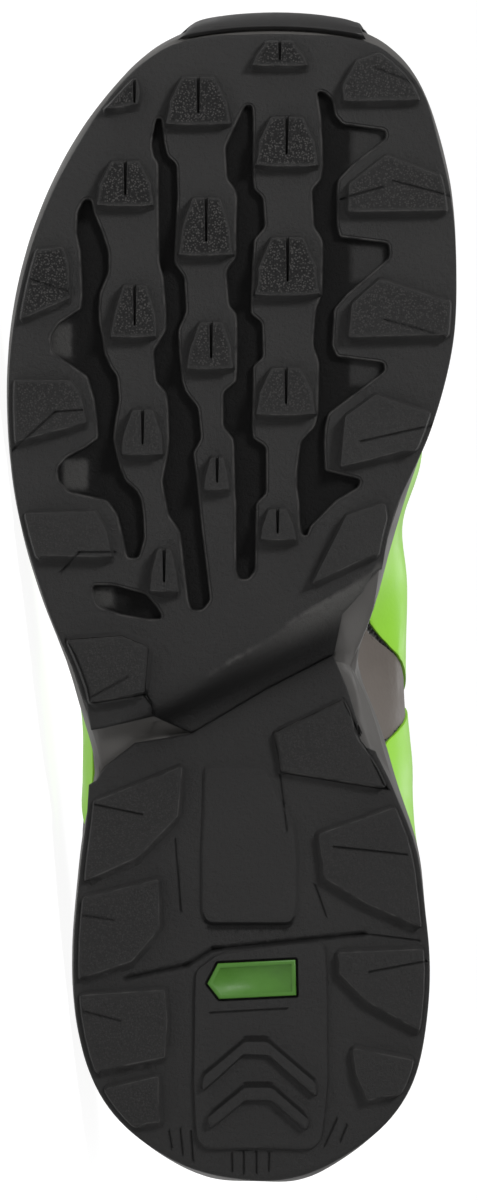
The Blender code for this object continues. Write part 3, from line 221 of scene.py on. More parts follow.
def cloth(name, dark, light, pitch, depth, holes):
    """A woven or knitted cloth whose threads follow the piece's own UV map, in metres."""
    material, tree, shader, place = shader_of(name, 0.85, {"Sheen Weight": 0.25, "Specular IOR Level": 0.25})
    uv = add(tree, "ShaderNodeUVMap", {"uv_map": "cloth"}).outputs["UV"]
    parts = add(tree, "ShaderNodeSeparateXYZ", None, {0: uv})
    turn = 2 * math.pi / pitch
    along = math_node(tree, "SINE", math_node(tree, "MULTIPLY", parts.outputs["X"], turn))
    across = math_node(tree, "SINE", math_node(tree, "MULTIPLY", parts.outputs["Y"], turn))
    threads = math_node(tree, "MULTIPLY", along, across)
    open_part = span(tree, threads, 0.15, 0.75, 0.0, holes)
    shade = math_node(tree, "SUBTRACT", span(tree, cloud(tree, place, 700.0), 0.3, 0.7), open_part)
    paint(tree, shader, blend_colour(tree, shade, dark, light))
    fuzz = raise_bump(tree, shader, cloud(tree, place, 3500.0), 0.00003, 0.5)
    raise_bump(tree, shader, threads, -depth, 0.9, fuzz)
    return material


def woven_band(name, dark, light, rib):
    """A flat woven lace: fine ribs along it and a herringbone across it."""
    material, tree, shader, place = shader_of(name, 0.8, {"Sheen Weight": 0.2, "Specular IOR Level": 0.3})
    uv = add(tree, "ShaderNodeUVMap", {"uv_map": "cloth"}).outputs["UV"]
    parts = add(tree, "ShaderNodeSeparateXYZ", None, {0: uv})
    tilt = math_node(tree, "PINGPONG", parts.outputs["Y"], rib * 2)
    slanted = math_node(tree, "ADD", parts.outputs["X"], tilt)
    waves = math_node(tree, "SINE", math_node(tree, "MULTIPLY", slanted, 2 * math.pi / rib))
    paint(tree, shader, blend_colour(tree, span(tree, waves, -1, 1), dark, light))
    raise_bump(tree, shader, waves, 0.00009, 0.8)
    return material


RUBBER = outsole_rubber()
FOAM = midsole_foam()
BADGE = green_insert()
LIME = film("lime_film", (0.195, 0.448, 0.027), (0.232, 0.506, 0.037), 0.42, 0.56, 1400.0, 0.00003)
TAUPE = film("taupe_film", (0.080, 0.069, 0.061), (0.100, 0.087, 0.078), 0.50, 0.66, 1100.0, 0.00006)
SMOKE = film("smoke_film", (0.040, 0.039, 0.038), (0.055, 0.053, 0.051), 0.42, 0.60, 1300.0, 0.00004)
TOE_RUBBER = film("toe_rubber", (0.0115, 0.0112, 0.0112), (0.0165, 0.0160, 0.0158), 0.44, 0.60, 1700.0, 0.00003)
MESH = cloth("air_mesh", (0.010, 0.010, 0.010), (0.075, 0.072, 0.070), 0.0021, 0.00030, 1.0)
LINING = cloth("lining_knit", (0.028, 0.028, 0.030), (0.065, 0.065, 0.068), 0.0011, 0.00012, 0.35)
TONGUE_MESH = cloth("tongue_mesh", (0.012, 0.012, 0.012), (0.062, 0.060, 0.058), 0.0017, 0.00022, 0.9)
INSOLE_CLOTH = cloth("insole_cloth", (0.030, 0.030, 0.034), (0.055, 0.055, 0.060), 0.0008, 0.00006, 0.3)
LACE_WEAVE = woven_band("lace_weave", (0.030, 0.030, 0.030), (0.085, 0.085, 0.083), 0.0009)
THREAD = woven_band("sewing_thread", (0.060, 0.058, 0.055), (0.130, 0.125, 0.118), 0.0004)
EYELET_RIM = film("eyelet_rim", (0.018, 0.018, 0.018), (0.030, 0.030, 0.030), 0.30, 0.42, 2000.0, 0.00001)


# Mesh helpers, in the shoe's own frame

def cad_body(node):
    """A CAD node's solid as one closed mesh."""
    work = bmesh.new()
    work.from_mesh(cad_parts[node].data)
    work.transform(TO_SHOE)
    bmesh.ops.remove_doubles(work, verts=work.verts, dist=WELD)
    return work


def crease_sharp(work, least):
    layer = work.edges.layers.float.get("crease_edge") or work.edges.layers.float.new("crease_edge")
    for edge in work.edges:
        if len(edge.link_faces) != 2 or edge.calc_face_angle(0.0) > least:
            edge[layer] = 1.0


def to_quads(work):
    bmesh.ops.join_triangles(
        work, faces=work.faces, angle_face_threshold=0.6, angle_shape_threshold=0.9
    )


def make_piece(name, work, material, sharp_degrees=40):
    """A new object with its place in its mesh, still in the shoe's frame."""
    mesh = bpy.data.meshes.new(name)
    work.to_mesh(mesh)
    work.free()
    piece = bpy.data.objects.new(name, mesh)
    bpy.context.scene.collection.objects.link(piece)
    for item in material if isinstance(material, tuple) else (material,):
        mesh.materials.append(item)
    mesh.shade_smooth()
    mesh.set_sharp_from_angle(angle=math.radians(sharp_degrees))
    return piece


def bake(piece, sharp_degrees=None):
    """Turns the modifiers' result into the piece's own plain mesh."""
    graph = bpy.context.evaluated_depsgraph_get()
    graph.update()
    mesh = bpy.data.meshes.new_from_object(piece.evaluated_get(graph))
    old = piece.data
    piece.modifiers.clear()
    piece.data = mesh
    bpy.data.meshes.remove(old)
    mesh.name = piece.name
    if sharp_degrees is not None:
        mesh.shade_smooth()
        mesh.set_sharp_from_angle(angle=math.radians(sharp_degrees))
    return piece


def subdivide(piece, levels, corners="ALL"):
    change = piece.modifiers.new("smooth", "SUBSURF")
    change.levels = levels
    change.render_levels = levels
    change.boundary_smooth = corners
    return bake(piece)


def surface_tree(*pieces):
    work = bmesh.new()
    for piece in pieces:
        work.from_mesh(piece.data)
    bmesh.ops.triangulate(work, faces=work.faces)
    tree = BVHTree.FromBMesh(work)
    work.free()
    return tree


def points_of(piece):
    return np.array([v.co for v in piece.data.vertices])


def set_points(piece, points):
    piece.data.vertices.foreach_set("co", np.asarray(points, np.float32).ravel())
    piece.data.update()


def wrap_uv(piece, centre_height, radius):
    """A UV map in metres: along the shoe, and round it from the outer side to the inner one."""
    layer = piece.data.uv_layers.get("cloth") or piece.data.uv_layers.new(name="cloth")
    points = points_of(piece)
    angles = np.arctan2(points[:, 1], points[:, 2] - centre_height)
    uv = np.column_stack([points[:, 0], angles * radius])
    loops = np.array([loop.vertex_index for loop in piece.data.loops])
    layer.data.foreach_set("uv", uv[loops].astype(np.float32).ravel())


def place_in_world(piece, slot, *nodes):
    """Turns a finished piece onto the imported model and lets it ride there."""
    piece.data.transform(TO_WORLD)
    piece.data.update()
    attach(piece, "root")
    if nodes:
        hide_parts(*nodes)
    return piece


# The tread

Ridge = namedtuple("Ridge", "along_1 across_1 along_2 across_2")
LENGTH = 0.300
TOE_SPRING = 0.0170
SPRING_START = 0.66
HEEL_BEVEL = 0.0055
BEVEL_END = 0.11
WAIST_DEPTH = 0.0080
WAIST_VALLEY = 0.424
WAIST_SLANT = 0.44
WAIST_WALL = 0.0110
WAIST_FLARE = 0.20
WAIST_RAMP = 0.0380
LUG_HEIGHT = 0.0038
RUBBER_DEPTH = 0.0032
PEBBLE = 0.00080
PEBBLE_HEIGHT = 0.00015
TOP_GRID = 0.00044
FLOOR_GRID = 0.0012
SIDE_FLARE = 0.00075
HEEL_FLARE = 0.00165
HEEL_FLOOR = 0.0015
REAR_FLARE = 0.00135
REAR_TRIM = 0.00050
GROOVE_LIP = 0.00105
RIM_REACH = 0.0008
CUT_REACH = 0.00045
RIM_ROUND = 0.0009
CORNER_FLARE = 0.22
SLIT_FRONT = 0.00100
SLIT_REAR = 0.00060
SLIT_DEPTH = 0.0017
LINE_WIDTH = 0.00042
FOLD_WIDTH = 0.00100

# Shares of the way from a step's outer line to its inner one, and of its height there.
LUG_PROFILE = ((0, 0.10, 0.30, 0.82, 0.93, 1), (0, 0.03, 0.18, 0.90, 0.975, 1))
STEP_PROFILE = ((0, 0.15, 0.5, 0.85, 1), (0, 0.06, 0.5, 0.94, 1))
GROOVE_PROFILE = ((0, 0.09, 0.55, 0.68, 0.95, 1), (0, 0.10, 0.15, 0.26, 0.96, 1))

# Fine lines pressed into the lugs and the heel, their two ends in millimetres from the heel's
# tip and from the centre line.
LUG_LINES = (
    Ridge(286.4, 31.0, 281.7, 42.9),
    Ridge(257.4, 36.3, 253.5, 51.0),
    Ridge(252.8, 23.1, 255.8, 33.7),
    Ridge(222.0, 34.0, 217.0, 52.0),
    Ridge(191.0, 28.0, 195.0, 46.0),
    Ridge(188.8, -60.4, 198.5, -49.5),
    Ridge(198.5, -49.5, 199.0, -42.4),
    Ridge(233.0, -58.0, 229.0, -46.0),
    Ridge(158.0, -48.0, 162.9, -43.4),
    Ridge(162.9, -43.4, 162.9, -34.5),
    Ridge(126.1, -40.3, 131.2, -31.0),
    Ridge(98.7, -39.6, 96.2, -27.4),
    Ridge(71.1, -44.9, 69.5, -34.8),
    Ridge(47.0, -44.9, 43.9, -32.8),
    Ridge(88.1, 20.2, 86.1, 38.2),
    Ridge(56.3, 30.2, 59.1, 44.9),
)
HEEL_LINES = (
    Ridge(45.9, -10.2, 47.0, 9.4),
    Ridge(66.0, 28.7, 64.2, 43.0),
    Ridge(15.8, -20.2, 11.6, -19.6),
    Ridge(16.2, -17.4, 10.0, -16.9),
    Ridge(15.8, -14.7, 8.4, -14.4),
    Ridge(9.6, -4.6, 4.4, -4.5),
    Ridge(10.2, -1.6, 3.4, -1.6),
    Ridge(10.2, 1.6, 3.4, 1.6),
    Ridge(9.6, 4.8, 4.4, 4.7),
    Ridge(19.0, 21.5, 12.0, 18.6),
    Ridge(17.4, 24.0, 13.4, 22.6),
    Ridge(90.0, -19.0, 71.9, -17.6),
    Ridge(106.3, 7.6, 92.4, 8.9),
    Ridge(78.4, 16.0, 70.8, 19.0),
)

HEEL_FOLDS = (
    Ridge(54.8, -31.2, 58.0, -16.2),
    Ridge(58.0, -16.2, 62.1, -9.4),
    Ridge(62.1, -9.4, 66.0, 28.7),
)

# Painted pools of light on the grooves' floors, in millimetres.
Patch = namedtuple("Patch", "along across length width")
LIGHT_PATCHES = (
    Patch(216.8, -47.9, 9.0, 5.6),
    Patch(182.7, -44.4, 8.0, 6.6),
    Patch(151.5, -37.2, 5.2, 5.4),
    Patch(265.9, 29.9, 9.4, 8.4),
    Patch(236.5, 29.9, 9.2, 8.4),
    Patch(209.2, 29.2, 7.6, 7.6),
)


def ease(t):
    t = np.clip(t, 0, 1)
    return t * t * (3 - 2 * t)


def ground(x, y):
    """How far the lugs' tops stand over flat ground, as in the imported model."""
    share = x / LENGTH
    spring = TOE_SPRING * (np.clip(share - SPRING_START, 0, None) / (1 - SPRING_START)) ** 2
    bevel = HEEL_BEVEL * (np.clip(BEVEL_END - share, 0, None) / BEVEL_END) ** 2
    past = x - WAIST_VALLEY * LENGTH - WAIST_SLANT * y
    wall = WAIST_WALL + WAIST_FLARE * np.clip(y, -0.018, 0.040)
    dip = np.where(past > 0, ease(1 - past / wall), ease(1 + past / WAIST_RAMP))
    return spring + bevel + WAIST_DEPTH * dip


def past_valley(points):
    """How far points lie ahead of the waist's valley, and how long its front wall is there."""
    past = points[:, 0] - WAIST_VALLEY * LENGTH - WAIST_SLANT * points[:, 1]
    return past, WAIST_WALL + WAIST_FLARE * np.clip(points[:, 1], -0.018, 0.040)


def wall_top(shift):
    """The line where the forefoot's rubber turns down to the waist."""
    across = np.linspace(-0.016, 0.037, 45)
    wall = WAIST_WALL + WAIST_FLARE * across
    return np.column_stack([WAIST_VALLEY * LENGTH + WAIST_SLANT * across + wall + shift, across])


def fitted(points):
    """The heel a little squarer, and the toe's inner corner and the inner side behind the waist fuller."""
    points = np.array(points, float)
    x, y = points[:, 0].copy(), points[:, 1].copy()
    points[:, 0] += 0.0018 * np.exp(-(((y - 0.0015) / 0.0095) ** 2)) * (1 - ease(x / 0.016))
    points[:, 1] += 0.026 * y * np.exp(-(((x - 0.022) / 0.014) ** 2))
    points[:, 1] += 0.0010 * np.clip(y / 0.030, 0, 1) * np.exp(-(((x - 0.286) / 0.013) ** 2))
    points[:, 1] += 0.0016 * np.clip(y / 0.030, 0, 1) * np.exp(-(((x - 0.088) / 0.013) ** 2))
    return points


def face_islands(work, crease):
    """Groups of faces that meet at less than an angle."""
    seen = set()
    groups = []
    for start in work.faces:
        if start in seen:
            continue
        seen.add(start)
        group = []
        waiting = [start]
        while waiting:
            face = waiting.pop()
            group.append(face)
            for edge in face.edges:
                if len(edge.link_faces) != 2 or edge.calc_face_angle(0.0) > crease:
                    continue
                for other in edge.link_faces:
                    if other not in seen:
                        seen.add(other)
                        waiting.append(other)
        groups.append(group)
    return groups


def edge_loops(edges):
    """The closed loops of corners that a set of edges makes."""
    after = {}
    for edge in edges:
        for vert in edge.verts:
            after.setdefault(vert, []).append(edge)
    used = set()
    loops = []
    for first in edges:
        if first in used:
            continue
        loop = [first.verts[0]]
        used.add(first)
        here = first.verts[1]
        while here is not loop[0]:
            loop.append(here)
            ways = [edge for edge in after[here] if edge not in used]
            if not ways:
                break
            used.add(ways[0])
            here = ways[0].other_vert(here)
        loops.append(loop)
    return loops


def plan_area(loop):
    x, y = loop[:, 0], loop[:, 1]
    return np.sum(x * np.roll(y, -1) - y * np.roll(x, -1)) / 2


def plan_loops(work):
    """The level and the outer line in plan of each flat or sunk face of a rubber solid's underside."""
    found = []
    for group in face_islands(work, math.radians(28)):
        area = sum(face.calc_area() for face in group)
        facing = sum((face.normal * face.calc_area() for face in group), Vector())
        if area < 15 * MM ** 2 or facing.z > -0.8 * area:
            continue
        inside = set(group)
        rim = {e for f in group for e in f.edges if any(other not in inside for other in e.link_faces)}
        loops = [np.array([tuple(v.co) for v in loop]) for loop in edge_loops(list(rim))]
        loop = max(loops, key=lambda points: abs(plan_area(points)))
        level = np.mean(ground(loop[:, 0], loop[:, 1]) + LUG_HEIGHT - loop[:, 2])
        loop = loop[:, :2] if plan_area(loop) > 0 else loop[::-1, :2]
        found.append((round(float(level), 4), loop))
    return sorted(found, key=lambda item: -plan_area(item[1]))


def rounded(loop, radius, most_step):
    """A loop with its corners cut round and its long sides divided."""
    before = np.roll(loop, 1, axis=0)
    after = np.roll(loop, -1, axis=0)
    result = []
    for corner, last, following in zip(loop, before, after):
        back, ahead = last - corner, following - corner
        back_size, ahead_size = np.linalg.norm(back), np.linalg.norm(ahead)
        straight = -(back @ ahead) / (back_size * ahead_size)
        if straight > 0.985:
            result.append(corner)
            continue
        start = corner + back * min(radius / back_size, 0.3)
        end = corner + ahead * min(radius / ahead_size, 0.3)
        for t in (0.0, 0.33, 0.67, 1.0):
            result.append((1 - t) ** 2 * start + 2 * t * (1 - t) * corner + t * t * end)
    result = np.array(result)
    divided = []
    for start, end in zip(result, np.roll(result, -1, axis=0)):
        count = max(1, int(np.linalg.norm(end - start) / most_step))
        divided += [start + (end - start) * k / count for k in range(count)]
    return np.array(divided)


def outward(loop):
    way = np.roll(loop, -1, axis=0) - np.roll(loop, 1, axis=0)
    way /= np.linalg.norm(way, axis=1, keepdims=True)
    return np.column_stack([way[:, 1], -way[:, 0]])


def distance_to(loop, points, closed=True):
    least = np.full(len(points), np.inf)
    ends = np.roll(loop, -1, axis=0) if closed else loop[1:]
    for start, end in zip(loop, ends):
        way = end - start
        share = np.clip(((points - start) @ way) / max(way @ way, 1e-18), 0, 1)
        least = np.minimum(least, np.linalg.norm(points - start - share[:, None] * way, axis=1))
    return least


def is_inside(loop, points):
    x, y = points[:, 0], points[:, 1]
    found = np.zeros(len(points), bool)
    for (x0, y0), (x1, y1) in zip(loop, np.roll(loop, -1, axis=0)):
        crosses = (y0 > y) != (y1 > y)
        if y1 != y0:
            found ^= crosses & (x < (x1 - x0) * (y - y0) / (y1 - y0) + x0)
    return found


class Step:
    """One raised or sunk part of the tread, between an outer line and an inner one."""

    def __init__(self, base, top, low, high, profile):
        self.base = base
        self.top = top
        self.low = low
        self.high = high
        self.profile = profile

    def rings(self):
        return [self.base + (self.top - self.base) * share for share in self.profile[0]]

    def share_at(self, points):
        """0 outside the outer line, 1 inside the inner one."""
        share = np.zeros(len(points))
        low, high = self.base.min(axis=0), self.base.max(axis=0)
        near = np.nonzero(((points >= low) & (points <= high)).all(axis=1))[0]
        near = near[is_inside(self.base, points[near])]
        on_top = is_inside(self.top, points[near])
        from_base = distance_to(self.base, points[near])
        from_top = distance_to(self.top, points[near])
        share[near] = np.where(on_top, 1.0, from_base / np.maximum(from_base + from_top, 1e-9))
        return share

    def level_at(self, share):
        return self.low + (self.high - self.low) * np.interp(share, *self.profile)


def flared(loop):
    """A column lug whose rear corners reach out, as its sides spread towards the heel."""
    rear = (loop[:, 0].max() - loop[:, 0]) / np.ptp(loop[:, 0])
    middle = (loop[:, 1].max() + loop[:, 1].min()) / 2
    return np.column_stack([loop[:, 0], middle + (loop[:, 1] - middle) * (1.04 + CORNER_FLARE * rear ** 2)])


def lug_step(loop, outline, edge, grooves):
    """A lug with sloped sides, longest at its rear, and its foot kept out of the grooves."""
    if is_column(loop):
        loop = flared(loop)
    loop = rounded(loop, 0.0006, 0.0024)
    normals = outward(loop)
    rearward = np.clip(-normals[:, 0], 0, 1) ** 2
    side_flare = SIDE_FLARE if loop[:, 0].min() > 0.125 else HEEL_FLARE
    at_rim = ~is_inside(outline, loop + normals * 0.0030)
    trims = np.where(at_rim, -0.0005, REAR_TRIM * rearward)
    amounts = np.where(at_rim, 0.0011, side_flare + REAR_FLARE * rearward)
    share = np.ones(len(loop))
    for less in (0.75, 0.5, 0.25, 0.0):
        base = loop + normals * (amounts * share)[:, None]
        over = ~is_inside(edge, base) | (distance_to(edge, base) < 0.0002)
        for groove in grooves:
            over |= is_inside(groove, base)
        share[over] = less
    share = np.minimum(share, (np.roll(share, 1) + share + np.roll(share, -1)) / 3)
    base = loop + normals * (amounts * share)[:, None]
    top = loop - normals * (trims * share + SIDE_FLARE * (1 - share))[:, None]
    return Step(base, top, 0.0, LUG_HEIGHT, LUG_PROFILE)


def slit_line(lug):
    """The narrow cut that runs back from a column lug's front."""
    front, rear = lug.top[:, 0].max(), lug.top[:, 0].min()
    nose = lug.top[lug.top[:, 0] > front - 0.0012]
    middle = nose[:, 1].mean()
    start, end = front + 0.0010, rear + (front - rear) * 0.24
    return np.array(
        [
            (start, middle + SLIT_FRONT / 2),
            (end, middle + SLIT_REAR / 2),
            (end - 0.0004, middle),
            (end, middle - SLIT_REAR / 2),
            (start, middle - SLIT_FRONT / 2),
        ]
    )


def line_points(line, shift):
    start = np.array([line.along_1, line.across_1]) * MM
    end = np.array([line.along_2, line.across_2]) * MM
    way = (end - start) / np.linalg.norm(end - start)
    aside = np.array([-way[1], way[0]]) * shift
    return start + aside, end + aside


def hex_grid(loop, spacing, keep_off, others, seed):
    """Evenly spread points inside a loop that stay away from the given lines."""
    low, high = loop.min(axis=0), loop.max(axis=0)
    xs = np.arange(low[0], high[0], spacing)
    ys = np.arange(low[1], high[1], spacing * 0.866)
    spots = np.array([(x + spacing / 2 * (j % 2), y) for j, y in enumerate(ys) for x in xs])
    spots += np.random.default_rng(seed).uniform(-0.14, 0.14, spots.shape) * spacing
    spots = spots[is_inside(loop, spots)]
    for other in [loop, *others]:
        low, high = other.min(axis=0) - keep_off, other.max(axis=0) + keep_off
        near = ((spots > low) & (spots < high)).all(axis=1)
        index = np.nonzero(near)[0]
        close = distance_to(other, spots[index]) < keep_off
        spots = np.delete(spots, index[close], axis=0)
    return spots


def pebbles(points):
    heights = np.zeros(len(points))
    for i, (x, y) in enumerate(points):
        near, far = noise.voronoi(Vector((x / PEBBLE, y / PEBBLE, 3.0)))[0][:2]
        heights[i] = min(1.0, max(0.0, (far - near) / 0.35))
    return heights


def wider_outline(outline, foam_tree):
    """The rubber's edge, smooth and reaching out over the foam's side except at the waist's cut."""
    normals = outward(outline)
    free = []
    for place, normal in zip(outline, normals):
        probe = place + normal * 0.0045
        free.append(foam_tree.ray_cast(Vector((*probe, -0.1)), Vector((0, 0, 1)))[0] is None)
    count = len(outline)
    result = []
    for i in range(count):
        a, b, c, d = (outline[(i + k) % count] for k in (-1, 0, 1, 2))
        reach = [RIM_REACH if free[(i + k) % count] else CUT_REACH for k in (0, 1)]
        smooth_here = free[i] and free[(i + 1) % count] and free[i - 1] and free[(i + 2) % count]
        pieces = max(1, int(np.linalg.norm(c - b) / 0.0018))
        for k in range(pieces):
            t = k / pieces
            place = b + (c - b) * t
            if smooth_here:
                curve = 2 * a - 5 * b + 4 * c - d
                place = 0.5 * (2 * b + (c - a) * t + curve * t ** 2 + (3 * b - a - 3 * c + d) * t ** 3)
            normal = normals[i] * (1 - t) + normals[(i + 1) % count] * t
            result.append(place + normal / np.linalg.norm(normal) * (reach[0] * (1 - t) + reach[1] * t))
    return np.array(result)


def tread_steps(found, edge):
    """The raised and sunk parts of one rubber piece, in the order in which they are laid on."""
    grooves, broad, chevrons, recess, lugs = [], [], [], [], []
    for level, loop in found[1:]:
        if level < 0:
            line = rounded(loop, 0.0009, 0.0022)
            normals = outward(line)
            grooves.append(Step(line + normals * GROOVE_LIP, line, 0.0, level, GROOVE_PROFILE))
        elif level < 0.002:
            line = rounded(loop, 0.0005, 0.002)
            recess.append(Step(line + outward(line) * 0.0003, line, 0.0024, level, STEP_PROFILE))
        elif level < 0.003:
            line = rounded(loop, 0.0016, 0.0024)
            wide = 0.0018 if abs(plan_area(loop)) < 900 * MM ** 2 else 0.0009
            broad.append(Step(line + outward(line) * wide, line, 0.0, level, STEP_PROFILE))
        elif loop[:, 0].max() < 0.045 and abs(loop[:, 1]).max() < 0.022:
            line = rounded(loop, 0.0008, 0.002)
            normals = outward(line)
            flare = 0.0006 + 0.0013 * np.clip(normals[:, 0], 0, 1)
            chevrons.append(Step(line + normals * flare[:, None], line, 0.0024, level, STEP_PROFILE))
        else:
            lugs.append(loop)
    rims = [step.base for step in grooves]
    lugs = [lug_step(loop, found[0][1], edge, rims) for loop in lugs]
    return grooves, broad + chevrons, recess, lugs


def make_tread(name, node, foam_tree, floor):
    found = plan_loops(cad_body(node))
    outline = wider_outline(found[0][1], foam_tree)
    grooves, raised, recess, lugs = tread_steps(found, outline)
    slits = [slit_line(lug) for lug in lugs if is_column(lug.top)]
    rims = [outline - outward(outline) * inset for inset in (0.00015, 0.00045, RIM_ROUND)]
    loops = rims + [ring for step in grooves + raised + recess + lugs for ring in step.rings()]
    loops += slits + [inner_slit(slit) for slit in slits]
    spots = [outline, *loops]
    edges = []
    for loop in spots:
        first = sum(len(other) for other in spots[: len(edges)])
        edges.append([(first + i, first + (i + 1) % len(loop)) for i in range(len(loop))])
    edges = [edge for group in edges for edge in group]
    total = sum(len(loop) for loop in spots)
    rows = []
    for table, width in ((LUG_LINES, LINE_WIDTH), (HEEL_LINES, LINE_WIDTH), (HEEL_FOLDS, FOLD_WIDTH)):
        for line in table:
            rows += [np.linspace(*line_points(line, shift), 12) for shift in (-width, 0, width)]
    rows += [wall_top(shift) for shift in (-LINE_WIDTH, 0, LINE_WIDTH)]
    for row in rows:
        if is_inside(outline, row[[0, -1]]).all():
            spots.append(row)
            edges += [(total + i, total + i + 1) for i in range(len(row) - 1)]
            total += len(row)
    keep_clear = [*loops, *(lug.top for lug in lugs)]
    spots.append(hex_grid(outline, FLOOR_GRID, FLOOR_GRID * 0.4, keep_clear, 1))
    for number, lug in enumerate(lugs):
        spots.append(hex_grid(lug.top, TOP_GRID, TOP_GRID * 0.45, slits, number))
    places = np.concatenate(spots)
    made = delaunay_2d_cdt([Vector(p) / MM for p in places], edges, [], 1, 1e-4)
    plan = np.array([tuple(v) for v in made[0]]) * MM
    level = np.full(len(plan), floor)
    worn = np.zeros(len(plan))
    # Grooves are sunk, with a painted highlight along each groove's lip.
    for step in grooves:
        share = step.share_at(plan)
        level = np.minimum(level, step.level_at(share))
        worn = np.maximum(worn, np.interp(share, (0.05, 0.5, 0.62, 0.75), (0, 0.5, 0.9, 0)))
    # Painted shadow: a dark band beside the small raised steps and behind the heel's plateau.
    painted_shadow = np.zeros(len(plan))
    for step in raised:
        share = step.share_at(plan)
        small = np.ptp(step.top[:, 0]) < 0.02
        reach = 0.0017 if small else -0.0020
        if small or step.top[:, 0].min() > 0.06:
            beside = is_inside(step.top, plan - np.array([reach, 0])) & (share < 0.999)
            painted_shadow = np.maximum(painted_shadow, 0.9 * beside)
        level = np.where(share > 0, np.maximum(level, step.level_at(share)), level)
    for step in recess:
        share = step.share_at(plan)
        level = np.where(share > 0, step.level_at(share), level)
    on_lug = np.zeros(len(plan))
    for lug in lugs:
        share = lug.share_at(plan)
        level = np.where(share > 0, np.maximum(level, lug.level_at(share)), level)
        on_lug = np.maximum(on_lug, share)
        # A painted highlight along each lug's top edge.
        worn = np.where(share > 0, np.interp(share, (0.80, 0.93, 0.99, 1), (0, 0.7, 0.6, 0)), worn)
    lug_tops = on_lug >= 0.999
    clear = np.ones(len(plan))
    index = np.nonzero(lug_tops)[0]
    for lug in lugs:
        clear[index] = np.minimum(clear[index], distance_to(lug.top, plan[index]) / 0.0007)
    for slit in slits:
        sunk = is_inside(slit, plan)
        depth = np.clip(distance_to(slit, plan[sunk]) / 0.00014, 0, 1)
        floor = np.minimum(level[sunk], LUG_HEIGHT - SLIT_DEPTH)
        level[sunk] = level[sunk] * (1 - depth) + floor * depth
        clear[sunk] = 0
    # Pressed lines and folds are painted dark, as the shade inside them.
    for table, depth, width, line_shade in (
        (LUG_LINES, 0.00045, LINE_WIDTH, 0.55),
        (HEEL_LINES, 0.00040, LINE_WIDTH, 0.65),
        (HEEL_FOLDS, 0.00085, FOLD_WIDTH, 0.90),
    ):
        for line in table:
            way = np.array(line_points(line, 0))
            press = np.clip(1 - distance_to(way, plan, False) / width, 0, 1)
            level -= depth * press
            clear = np.minimum(clear, 1 - press)
            painted_shadow = np.maximum(painted_shadow, np.clip(1.3 * press, 0, line_shade))
    past, wall = past_valley(plan)
    # A raised bead along the top of the forefoot rubber's wall at the waist, with a painted highlight on it.
    lip = np.clip(1 - np.abs(past - wall) / LINE_WIDTH, 0, 1) * ease((plan[:, 1] + 0.016) / 0.012)
    lip *= on_lug < 0.01
    level += 0.00035 * lip
    worn = np.maximum(worn, lip)
    bare = (on_lug < 0.01) * (past < wall)
    pale = ease((past / wall - 0.30) / 0.50) * ease((plan[:, 1] + 0.006) / 0.030) * bare
    # Painted shadow in the waist's valley.
    shade = np.exp(-((past - 0.0028) / 0.0060) ** 2) * ease((plan[:, 1] + 0.034) / 0.012)
    painted_shadow = np.maximum(painted_shadow, 0.78 * shade * (1 - ease((plan[:, 1] - 0.019) / 0.014)))
    rough = np.zeros(len(plan))
    fade = 0.30 + 0.70 * ease((plan[:, 0] - 0.175) / 0.065)
    fade *= 1 - 0.40 * ease((plan[:, 1] - 0.012) / 0.018)
    rough[index] = (np.clip(clear, 0, 1) * fade)[index]
    level[index] += PEBBLE_HEIGHT * pebbles(plan[index]) * rough[index]
    edge_share = np.clip(1 - distance_to(outline, plan) / RIM_ROUND, 0, 1)
    level -= RIM_ROUND * (1 - np.sqrt(1 - edge_share ** 2))
    heights = ground(plan[:, 0], plan[:, 1]) + LUG_HEIGHT - level
    work = bmesh.new()
    # Painted shade: the deeper a place lies, the darker it is laid, and the painted shadows are added.
    sunken = np.maximum(np.clip(-level / 0.0023, 0, 1), painted_shadow)
    # Painted pools of light on some groove floors: the painted shade is lifted, and on the outer side a paler grey
    # is laid.
    for patch in LIGHT_PATCHES:
        middle = np.array([patch.along, patch.across]) * MM
        reach = np.abs(plan - middle) / (np.array([patch.length, patch.width]) * MM / 2)
        lit = np.clip((1.15 - reach.max(axis=1)) / 0.3, 0, 1) * (sunken > 0.6)
        sunken *= 1 - 0.85 * lit
        pale = np.maximum(pale, lit * (0.55 if patch.across < 0 else 0.0))
    layers = [(work.verts.layers.float.new(key), numbers) for key, numbers in (
        ("pebbled", rough), ("sunken", sunken), ("worn", worn), ("pale", pale))]
    verts = [work.verts.new((x, y, z)) for (x, y), z in zip(plan, heights)]
    for layer, numbers in layers:
        for vert, value in zip(verts, numbers):
            vert[layer] = float(value)
    for face in made[2]:
        work.faces.new([verts[i] for i in reversed(face)])
    close_back(work, verts, made, outline)
    for vert, place in zip(work.verts, fitted([tuple(vert.co) for vert in work.verts])):
        vert.co = place
    bmesh.ops.recalc_face_normals(work, faces=work.faces)
    return make_piece(name, work, RUBBER, 42)


def is_column(loop):
    """Whether a lug's loop belongs to the rows down the forefoot's middle."""
    across = (loop[:, 1].max() + loop[:, 1].min()) / 2
    return loop[:, 0].min() > 0.14 and np.ptp(loop[:, 1]) < 0.022 and -0.036 < across < 0.017


def inner_slit(slit):
    middle = slit.mean(axis=0)
    width = np.array([1.0, 0.62])
    return middle + (slit - middle) * width


